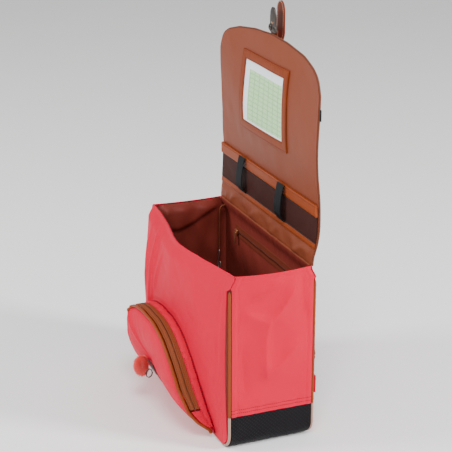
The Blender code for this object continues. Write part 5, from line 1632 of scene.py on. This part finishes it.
def pompom_tree():
    """Tree that sets yarn ends on a body, turned by a seeded angle."""
    tree, start = node_tree("yarn_ends", Spread="Float", Length="Float", Radius="Float", Count="Int",
                            Seed="Int", Material="Material")
    size = add(tree, "GeometryNodeInputMeshFaceArea")
    area = add(tree, "GeometryNodeAttributeStatistic",
               {"Geometry": start["Geometry"], "Attribute": size.outputs[0]}, domain="FACE")
    density = add(tree, "ShaderNodeMath", {0: start["Count"], 1: area.outputs["Sum"]},
                  operation="DIVIDE")
    spots = add(tree, "GeometryNodeDistributePointsOnFaces",
                {"Mesh": start["Geometry"], "Density": density.outputs[0], "Seed": start["Seed"]},
                distribute_method="RANDOM")
    low = times(tree, start["Spread"], -1.0)
    sway = add(tree, "FunctionNodeRandomValue", {0: low, 1: start["Spread"], "Seed": start["Seed"]},
               data_type="FLOAT_VECTOR")
    lean = add(tree, "ShaderNodeVectorMath", {0: spots.outputs["Normal"], 1: sway.outputs[0]},
               operation="ADD")
    turn = add(tree, "FunctionNodeAlignRotationToVector", {"Vector": lean.outputs[0]}, axis="Z")
    strand = add(tree, "GeometryNodeMeshCone",
                 {"Vertices": 5, "Side Segments": 3, "Radius Top": 0.45, "Radius Bottom": 1.0,
                  "Depth": 1.0})
    stretch = add(tree, "FunctionNodeRandomValue", {2: 0.55, 3: 1.15, "Seed": start["Seed"]},
                  data_type="FLOAT")
    reach = times(tree, stretch.outputs[1], start["Length"])
    scale = add(tree, "ShaderNodeCombineXYZ", {"X": start["Radius"], "Y": start["Radius"], "Z": reach})
    ends = add(tree, "GeometryNodeInstanceOnPoints",
               {"Points": spots.outputs["Points"], "Instance": strand.outputs[0],
                "Rotation": turn.outputs[0], "Scale": scale.outputs[0]})
    joined = add(tree, "GeometryNodeJoinGeometry", {"Geometry": ends.outputs[0]})
    tree.links.new(start["Geometry"], joined.inputs[0])
    return end_tree(tree, joined.outputs[0], start["Material"])


def build_pompom():
    """Yarn ball of many cut ends over a core, and the cord that ties it."""
    low, high = (np.array(corner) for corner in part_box("pompom"))
    core = Matrix.Translation(middle_of("pompom")) @ Matrix.Diagonal((*((high - low) * 0.38), 1))
    mesh = bpy.data.meshes.new("pompom_yarn")
    with editing(mesh) as bm:
        bmesh.ops.create_icosphere(bm, subdivisions=4, radius=1.0, matrix=core)
    item = link_mesh("pompom_yarn", mesh, "yarn")
    grow(item, pompom_tree(), Spread=0.60, Length=0.0064, Radius=0.00034, Count=looks().strands,
         Seed=SEED, Material=paint("yarn"))
    dress(item, "pompom_yarn", "pompom")
    refined("pompom_cord", "yarn", "pompom_yarn", 0.0, levels=1)


def build_closing_strap():
    """Leather closing strap on the flap's outer face, with its edge stitches."""
    length = STRAP_ON_FLAP + STRAP_TAIL
    tip = 0.45 * STRAP_WIDTH
    distance = np.concatenate((np.linspace(0, length - tip, 60, endpoint=False),
                               length - tip * (1 - np.linspace(0, 1, 22) ** 0.5)))
    rise = FLAP_HEIGHT - STRAP_ON_FLAP + distance
    free = ease((distance - STRAP_ON_FLAP * 0.45) / (STRAP_ON_FLAP * 0.55))
    seat = flap_y(0 * rise, np.minimum(rise, FLAP_HEIGHT)) + FLAP_DEPTH
    y = seat + 2 * GAP + STRAP_THICKNESS / 2 + STRAP_STANDOFF * free
    share = np.clip((length - distance) / (STRAP_WIDTH * 0.6), 0, 1)
    half = STRAP_WIDTH / 2 * np.clip(np.sqrt(1 - (1 - share) ** 2), 0.06, None)
    item = strap("closing_strap_leather", stack(0.0, y, BODY_HEIGHT + rise), half, STRAP_THICKNESS / 2,
                 (0, 1, 0), "leather", strap_section(24, 10))
    dress(item, "cognac_leather", "closing_strap")
    inset = 0.0034
    keep = half > inset + 0.0008
    side, z, rear = half[keep] - inset, (BODY_HEIGHT + rise)[keep], y[keep]
    rows = [(stack(hand * side, rear + toward * STRAP_THICKNESS * 0.49, z), (0, toward, 0))
            for toward in (-1, 1) for hand in (-1, 1)]
    stitches("strap_stitches", rows, 0.0009, 0.0006, "pale_thread", "cognac_leather", share=0.75)


def build_clasp_tongue():
    """Clasp tongue with its joint and rivets, on a short leather tab."""
    refined("clasp_tab", "leather", "cognac_leather", 0.0005)
    refined("clasp_tongue", "metal", "gunmetal", 0.0008)
    low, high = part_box("clasp_tongue")
    middle, face, foot, tall = (low[0] + high[0]) / 2, low[1], low[2], high[2] - low[2]
    turn = np.linspace(0, 2 * np.pi, 28, endpoint=False)
    eye, wire = 0.0040, 0.0014
    z = foot + 0.19 * tall
    for name, side in SIDES:
        x = middle + side * 0.0084
        ring = stack(x + eye * np.cos(turn), face - 0.0004, z + eye * np.sin(turn))
        item = tube("clasp_tongue_eye_" + name, ring, wire, "metal", closed=True, sides=12)
        dress(item, "gunmetal")
        # A flat black disc in each eye: painted shade that stands for the dark hole
        disc("clasp_tongue_hole_shade_" + name, (x, face, z), eye - wire / 2, 0.0003, "plastic", "gunmetal")
    # Copper line along the V notch: a painted highlight on the notch's edge
    notch = [(x, face - 0.0002, foot + up * tall) for x, up in ((-0.0036, 0.42), (0.0, 0.35), (0.0036, 0.42))]
    dress(tube("clasp_tongue_notch_highlight", finer(notch, 20), 0.0006, "copper", sides=8), "gunmetal")
    disc("clasp_tongue_rivet", (middle, face, foot + 0.70 * tall), 0.0026, 0.0009, "metal", "gunmetal")


def build_inner_zip():
    """Zip of the inner pocket: tape, coil and stitches on the back lining."""
    z = BODY_HEIGHT - INNER_ZIP_DROP
    y = half_depth(z) - WALL - GAP - LINING_WALL - 2 * GAP - TRIM_THICKNESS / 2
    face = y - TRIM_THICKNESS / 2
    half = INNER_ZIP_LENGTH / 2
    x = np.linspace(-half, half, 120)
    level = z + 0.0006 * ripple(x, x * 0, 0.03, 111)
    item = strap("inner_zip_cloth", stack(x, y, level), INNER_ZIP_WIDTH / 2, TRIM_THICKNESS / 2,
                 (0, -1, 0), "inner_tape")
    dress(item, "cognac_trim", "inner_zip_tape")
    keep = x < half - 0.006
    tooth = looks().tooth
    beads("inner_zip_coil", [(stack(x[keep], face - 0.0003, level[keep]), (0, -1, 0))], tooth,
          (tooth * 0.72, 0.0050, 0.0016), "inner_coil", "cognac_trim")
    rows = [(stack(x, face - THREAD_LIFT, level + up * INNER_ZIP_WIDTH * 0.40), (0, -1, 0)) for up in (-1, 1)]
    stitches("inner_zip_stitches", rows, 0.0008, 0.0006, "cognac_thread", "cognac_trim")


def build_key_cord():
    """Key cord of twisted yarn and its hook."""
    low_edge = BODY_HEIGHT - CORD_ROUTE[0][2] + CORD_DIAMETER / 2
    back = half_depth(low_edge) - WALL - GAP - LINING_WALL - 2 * GAP
    left = -BODY_WIDTH / 2
    route = [(left + x, back - y, BODY_HEIGHT - z) for x, y, z in CORD_ROUTE]
    line = finer(route, 160)
    item = tube("key_cord_twisted", line, CORD_DIAMETER / 2, "cord", hint=(1, 0.2, 0))
    dress(item, "cognac_trim", "key_cord")
    hook = refined("key_hook", "silver", "gunmetal", 0.0, levels=1)


# Back of the bag

def places_of(mesh):
    """Places of a mesh's corners."""
    place = np.empty(len(mesh.vertices) * 3)
    mesh.vertices.foreach_get("co", place)
    return place.reshape(-1, 3)


def swell(item, voxel, cap):
    """Let a padded piece swell under pressure as cloth does, moving no further than a cap."""
    remesh = item.modifiers.new("Remesh", "REMESH")
    remesh.mode = "VOXEL"
    remesh.voxel_size = voxel
    flatten(item)
    start = places_of(item.data)
    cloth = item.modifiers.new("Cloth", "CLOTH")
    cloth.settings.use_pressure = True
    cloth.settings.uniform_pressure_force = 4.0
    cloth.settings.effector_weights.gravity = 0.0
    cloth.settings.quality = 4
    scene = bpy.context.scene
    for step in range(1, 21):
        scene.frame_set(step)
    swollen = item.evaluated_get(bpy.context.evaluated_depsgraph_get())
    move = places_of(swollen.to_mesh()) - start
    swollen.to_mesh_clear()
    scene.frame_set(1)
    item.modifiers.clear()
    far = np.linalg.norm(move, axis=1, keepdims=True)
    place = start + move * np.minimum(1.0, cap / (far + 1e-9))
    item.data.vertices.foreach_set("co", place.ravel())
    return item


def finish_pad(item, shape):
    """Subdivide a padded piece once and press its sewn channels into it."""
    subdivision = item.modifiers.new("Subdivision", "SUBSURF")
    subdivision.levels = subdivision.render_levels = 1
    flatten(item)
    item.data.vertices.foreach_set("co", shape(places_of(item.data)).ravel())
    item.data.materials.clear()
    item.data.materials.append(paint("pad"))
    item.data.shade_smooth()


def pad_core(node, name, voxel, cap):
    """Swollen copy of a padded solid, first drawn in a little about its centre."""
    mesh = merged_mesh(node, name)
    centre = Vector(middle_of(node))
    with editing(mesh) as bm:
        for vert in bm.verts:
            vert.co = centre + (vert.co - centre) * PAD_SHRINK
    return swell(placed(name, mesh), voxel, cap)


def pad_shape(place):
    """Seam and channels of the back pad, its rear kept on the bag."""
    x, y, z = place.T
    face = half_depth(z) + GAP
    depth = np.clip((y - face) / PAD_THICKNESS, 0, 1)
    across = np.abs(x) / (PAD_WIDTH / 2)
    up = np.abs(z - PAD_FOOT - PAD_HEIGHT / 2) / (PAD_HEIGHT / 2)
    edge = (1 - (across ** 5 + up ** 5) ** 0.2) * PAD_HEIGHT / 2
    dip = 0.0035 * ridge(edge - 0.013, 0.0030)
    inside = ease((edge - 0.020) / 0.010)
    dip = dip + 0.0045 * ridge(np.abs(x), 0.0050) * inside
    for level in (0.30, 0.64):
        row = z - PAD_FOOT - PAD_HEIGHT * level - 0.010 * np.cos(x / PAD_WIDTH * np.pi)
        dip = dip + 0.0040 * ridge(row, 0.0045) * inside
    crumple = 0.0005 * ripple(x, z, 0.022, 131)
    y = np.maximum(y - (dip + crumple) * depth, face + 0.0001)
    return stack(x, y, z)


def shoulder_line(side, count=90):
    """Centres of a shoulder strap from its top to its foot."""
    top_z = BODY_HEIGHT - SHOULDER_TOP_DROP
    lift = PAD_THICKNESS + SHOULDER_CLEARANCE
    part = np.linspace(0, 1, count)
    arc = (top_z - PAD_FOOT - PAD_HEIGHT) / (top_z - SHOULDER_FOOT_HEIGHT)
    z = top_z + (SHOULDER_FOOT_HEIGHT - top_z) * part
    x = SHOULDER_TOP_X + (SHOULDER_FOOT_X - SHOULDER_TOP_X) * part ** 1.4
    y = half_depth(z) + GAP + SHOULDER_THICKNESS / 2 + lift * ease(part / arc)
    return stack(side * x, y, z)


def crossed_box(x0, x1, low, high, y):
    """Lines of a sewn box with a cross in it, on the bag's back."""
    corners = ((x0, low), (x1, low), (x1, high), (x0, high), (x0, low), (x1, high))
    return [([(x, y, z) for x, z in corners], (0, 1, 0)), ([(x0, y, high), (x1, y, low)], (0, 1, 0))]


def build_shoulder_strap(side, hand):
    """Padded shoulder strap with bound edges, its adjuster, webbing and anchor tab."""
    line = shoulder_line(side)
    run = directions(line)
    across = unit(np.cross(run, np.array((0.0, 1.0, 0.0))))
    out = unit(np.cross(across, run))
    name = "shoulder_strap_" + hand
    item = pad_core(name, name + "_pad", 0.0026, 0.0016)

    def channel(place):
        """Shallow dip along the strap's middle and fine crumples."""
        near = np.abs(place[:, None, 2] - line[None, :, 2]).argmin(axis=1)
        off = ((place - line[near]) * across[near]).sum(axis=1)
        lift = ((place - line[near]) * out[near]).sum(axis=1)
        dip = 0.0009 * ridge(off, 0.0060) + 0.0004 * ripple(place[:, 0], place[:, 2], 0.014, 141)
        return place - out[near] * (dip * np.sign(lift))[:, None]

    finish_pad(item, channel)
    dress(item, "charcoal_fabric", name)
    share = np.linspace(0, 1, len(line))
    half = SHOULDER_WIDTH / 2 * (1 - 0.35 * ease((share - 0.75) / 0.25))
    reach = across * (half - 0.0008)[:, None]
    edge = np.concatenate((line + reach, (line - reach)[::-1]))
    binding = tube(name + "_binding", edge, BINDING_RADIUS, "elastic", closed=True, sides=10)
    dress(binding, "charcoal_fabric")
    heading, wide, thick = run[-1], across[-1], out[-1]
    half_adjuster = ADJUSTER_LENGTH / 2
    centre = line[-1] + heading * (half_adjuster + GAP)
    build_adjuster(hand, centre, heading, wide, thick)
    face = half_depth(ANCHOR_HEIGHT) + GAP
    start = centre + heading * (half_adjuster + GAP)
    end = np.array((side * (BODY_WIDTH / 2 - ANCHOR_LENGTH * 0.75),
                    face + WALL + GAP + WEBBING_THICKNESS / 2, ANCHOR_HEIGHT))
    lead = start + heading * np.linalg.norm(end - start) * 0.45
    part = np.linspace(0, 1, 50)[:, None]
    route = (1 - part) ** 2 * start + 2 * part * (1 - part) * lead + part ** 2 * end
    route[:, 1] = start[1] + (end[1] - start[1]) * ease(part[:, 0])
    entry = np.linspace(-1.45, 0.95, 24)[:, None]
    hump = 0.0026 * ridge(entry, 0.42) - 0.0006
    inside = centre + heading * entry * half_adjuster + thick * hump
    webbing = strap("strap_webbing_%s_ribbed" % hand, finer(np.concatenate((inside, route)), 110),
                    BACK_WEBBING_WIDTH / 2, WEBBING_THICKNESS / 2, (0, 1, 0), "webbing")
    dress(webbing, "grey_webbing", "strap_webbing_" + hand)
    refined("strap_anchor_" + hand, "coral", "coral_nylon", 0.0006)
    near, far = BODY_WIDTH / 2 - ANCHOR_LENGTH + SEWN_INSET, BODY_WIDTH / 2 - SEWN_INSET
    tall = ANCHOR_WIDTH / 2 - SEWN_INSET
    rows = crossed_box(side * near, side * far, ANCHOR_HEIGHT - tall, ANCHOR_HEIGHT + tall,
                       face + WALL + THREAD_LIFT)
    stitches("strap_anchor_%s_stitches" % hand, rows, 0.0009, 0.0007, "coral_thread_and_shade", "coral_nylon")


def build_adjuster(hand, centre, heading, wide, thick):
    """Three-bar slide: a rounded frame with a bar across its middle."""
    half_long = ADJUSTER_LENGTH / 2 - ADJUSTER_BAR
    half_wide = BACK_WEBBING_WIDTH / 2 + ADJUSTER_BORDER - ADJUSTER_BAR
    angle = np.linspace(0, 2 * np.pi, 64, endpoint=False)
    shares = [(np.sign(turn) * np.abs(turn) ** 0.35)[:, None] for turn in (np.cos(angle), np.sin(angle))]
    ring = centre + heading * (shares[0] * half_long) + wide * (shares[1] * half_wide)
    radial = unit(heading * shares[0] / half_long + wide * shares[1] / half_wide)
    item = sweep("strap_adjuster_%s_frame" % hand, ring, radial * ADJUSTER_BAR,
                 np.broadcast_to(thick * ADJUSTER_BAR, ring.shape), round_section(10), "plastic", closed=True)
    dress(item, "black_plastic", "strap_adjuster_" + hand)
    bar_line = centre + wide * np.linspace(-half_wide, half_wide, 12)[:, None]
    bar = strap("strap_adjuster_%s_bar" % hand, bar_line, ADJUSTER_BAR, 0.0011, thick, "plastic")
    dress(bar, "black_plastic")


def build_handle():
    """Webbing carry handle with its sewn ends."""
    z = BODY_HEIGHT - HANDLE_DROP
    seat = half_depth(z - HANDLE_WIDTH / 2) + GAP + WEBBING_THICKNESS / 2
    x = np.linspace(-HANDLE_SPAN / 2, HANDLE_SPAN / 2, 110)
    rise = ease((HANDLE_SPAN / 2 - HANDLE_END - np.abs(x)) / HANDLE_REACH)
    item = strap("carry_handle_ribbed", stack(x, seat + HANDLE_REACH * rise, z), HANDLE_WIDTH / 2,
                 WEBBING_THICKNESS / 2, (0, 1, 0), "webbing")
    dress(item, "grey_webbing", "carry_handle")
    tall = HANDLE_WIDTH / 2 - 0.003
    rows = []
    for end in (-1, 1):
        rows += crossed_box(end * (HANDLE_SPAN / 2 - 0.002), end * (HANDLE_SPAN / 2 - HANDLE_END + 0.002),
                            z - tall, z + tall, seat + WEBBING_THICKNESS / 2 + THREAD_LIFT)
    stitches("handle_stitches", rows, 0.0008, 0.0006, "dark_thread", "grey_webbing")


def build_back():
    """Padded back panel, shoulder straps, handle and the flap's edge tab."""
    pad = pad_core("back_pad", "back_pad_quilted", 0.0045, 0.005)
    finish_pad(pad, pad_shape)
    dress(pad, "charcoal_fabric", "back_pad")
    for hand, side in SIDES:
        build_shoulder_strap(side, hand)
    build_handle()
    refined("edge_tab", "elastic", "black_elastic", 0.0003)


# Stage, light and camera

CAMERA_PLACE = (1.96322, -0.79616, 1.06332)
CAMERA_AZIMUTH = 67.992
CAMERA_ELEVATION = 19.496
CAMERA_LENS = 107.36
FLOOR_SIZE = 60.0
LAMPS = (
    ("key_light", (2.2, 2.4, 1.9), 135.0, 0.6),
    ("front_light", (-0.9, -3.2, 2.2), 100.0, 0.9),
    ("top_light", (1.7, -0.7, 2.6), 60.0, 0.9),
)
LIT_PLACE = Vector((0, 0, 0.3))
WORLD_STRENGTH = 0.60


def build_stage():
    """Pale floor, soft studio light and the photo's camera."""
    azimuth, elevation = math.radians(CAMERA_AZIMUTH), math.radians(CAMERA_ELEVATION)
    back = Vector((math.sin(azimuth) * math.cos(elevation), -math.cos(azimuth) * math.cos(elevation),
                   math.sin(elevation)))
    right = Vector((0, 0, 1)).cross(back).normalized()
    turn = Matrix((right, back.cross(right), back)).transposed().to_4x4()
    data = bpy.data.cameras.new("photo_camera")
    data.lens = CAMERA_LENS
    data.sensor_width = 36.0
    data.clip_start = 0.01
    camera = placed("photo_camera", data)
    camera.matrix_world = Matrix.Translation(CAMERA_PLACE) @ turn
    scene = bpy.context.scene
    scene.camera = camera
    mesh = bpy.data.meshes.new("floor")
    half = FLOOR_SIZE / 2
    mesh.from_pydata([(-half, -half, 0), (half, -half, 0), (half, half, 0), (-half, half, 0)], [],
                     [(0, 1, 2, 3)])
    mat, tree = new_material("pale_floor", Roughness=0.7)
    mesh.materials.append(coat(mat, noise(tree, surface(tree), 0.4), linear("FBFBFB"), linear("FFFFFF")))
    extras = [placed("floor", mesh)]
    for name, spot, power, size in LAMPS:
        light = bpy.data.lights.new(name, "AREA")
        light.energy = power
        light.size = size
        lamp = placed(name, light)
        lamp.location = spot
        lamp.rotation_euler = (LIT_PLACE - Vector(spot)).to_track_quat("-Z", "Y").to_euler()
        extras.append(lamp)
    world = bpy.data.worlds.new("studio")
    world.use_nodes = True
    backdrop = world.node_tree.nodes["Background"].inputs
    backdrop["Color"].default_value = linear("FFFFFF")
    backdrop["Strength"].default_value = WORLD_STRENGTH
    scene.world = world


# Operators and panel

def make_operator(piece, label, text, builders):
    """Operator class that runs a group's builders."""
    def execute(self, context):
        """Build the group."""
        for builder in builders:
            builder()
        return {"FINISHED"}
    return type("RANSEL_OT_" + piece, (bpy.types.Operator,), {
        "bl_idname": "ransel." + piece, "bl_label": label, "__doc__": text,
        "bl_options": {"REGISTER", "UNDO"}, "execute": execute})


GROUPS = (
    ("stage", "Stage", "Add the floor, the lights and the camera", (build_stage,)),
    ("cord", "Key cord", "Add the key cord and its hook", (build_key_cord,)),
    ("body", "Body", "Add the bag's panels, base, lining and piping",
     (build_front_panel, build_back_panel, build_sides, build_base, build_lining, build_seam_piping,
      build_rim_seam, build_panel_stitches)),
    ("pocket", "Pocket", "Add the front pocket with its zip", (build_gusset, build_pocket_front)),
    ("clasp", "Clasp", "Add the pocket's clasp, the zips' metal and the pompom",
     (build_zip_metal, build_clasp, build_pompom)),
    ("flap", "Flap", "Add the flap with its net pocket and window",
     (build_flap, build_flap_stitches, build_hinge_seam, build_mesh_pocket, build_window)),
    ("closing", "Closing strap", "Add the closing strap and the clasp tongue",
     (build_closing_strap, build_clasp_tongue)),
    ("inside", "Inner zip", "Add the zip of the inner pocket", (build_inner_zip,)),
    ("back", "Back", "Add the pad, shoulder straps and handle", (build_back,)),
)
PIECES = [group[0] for group in GROUPS]
OPERATORS = [make_operator(*group) for group in GROUPS]


class RANSEL_PT_panel(bpy.types.Panel):
    """Ransel's settings and pieces."""

    bl_label = "Ransel"
    bl_space_type = "VIEW_3D"
    bl_region_type = "UI"
    bl_category = "Ransel"

    def draw(self, context):
        """List the settings and the operators."""
        for name in RanselLooks.__annotations__:
            self.layout.prop(context.scene.ransel_looks, name)
        for piece in PIECES:
            self.layout.operator("ransel." + piece)


CLASSES = (RanselLooks, *OPERATORS, RANSEL_PT_panel)


def register():
    """Add the classes and the settings."""
    for item in CLASSES:
        bpy.utils.register_class(item)
    bpy.types.Scene.ransel_looks = PointerProperty(type=RanselLooks)


def unregister():
    """Remove the settings and the classes."""
    del bpy.types.Scene.ransel_looks
    for item in reversed(CLASSES):
        bpy.utils.unregister_class(item)


def main():
    """Make the looks, then write the sizes of the solids and of the dressed bag."""
    register()
    for piece in PIECES:
        getattr(bpy.ops.ransel, piece)()


if __name__ == "__main__":
    main()
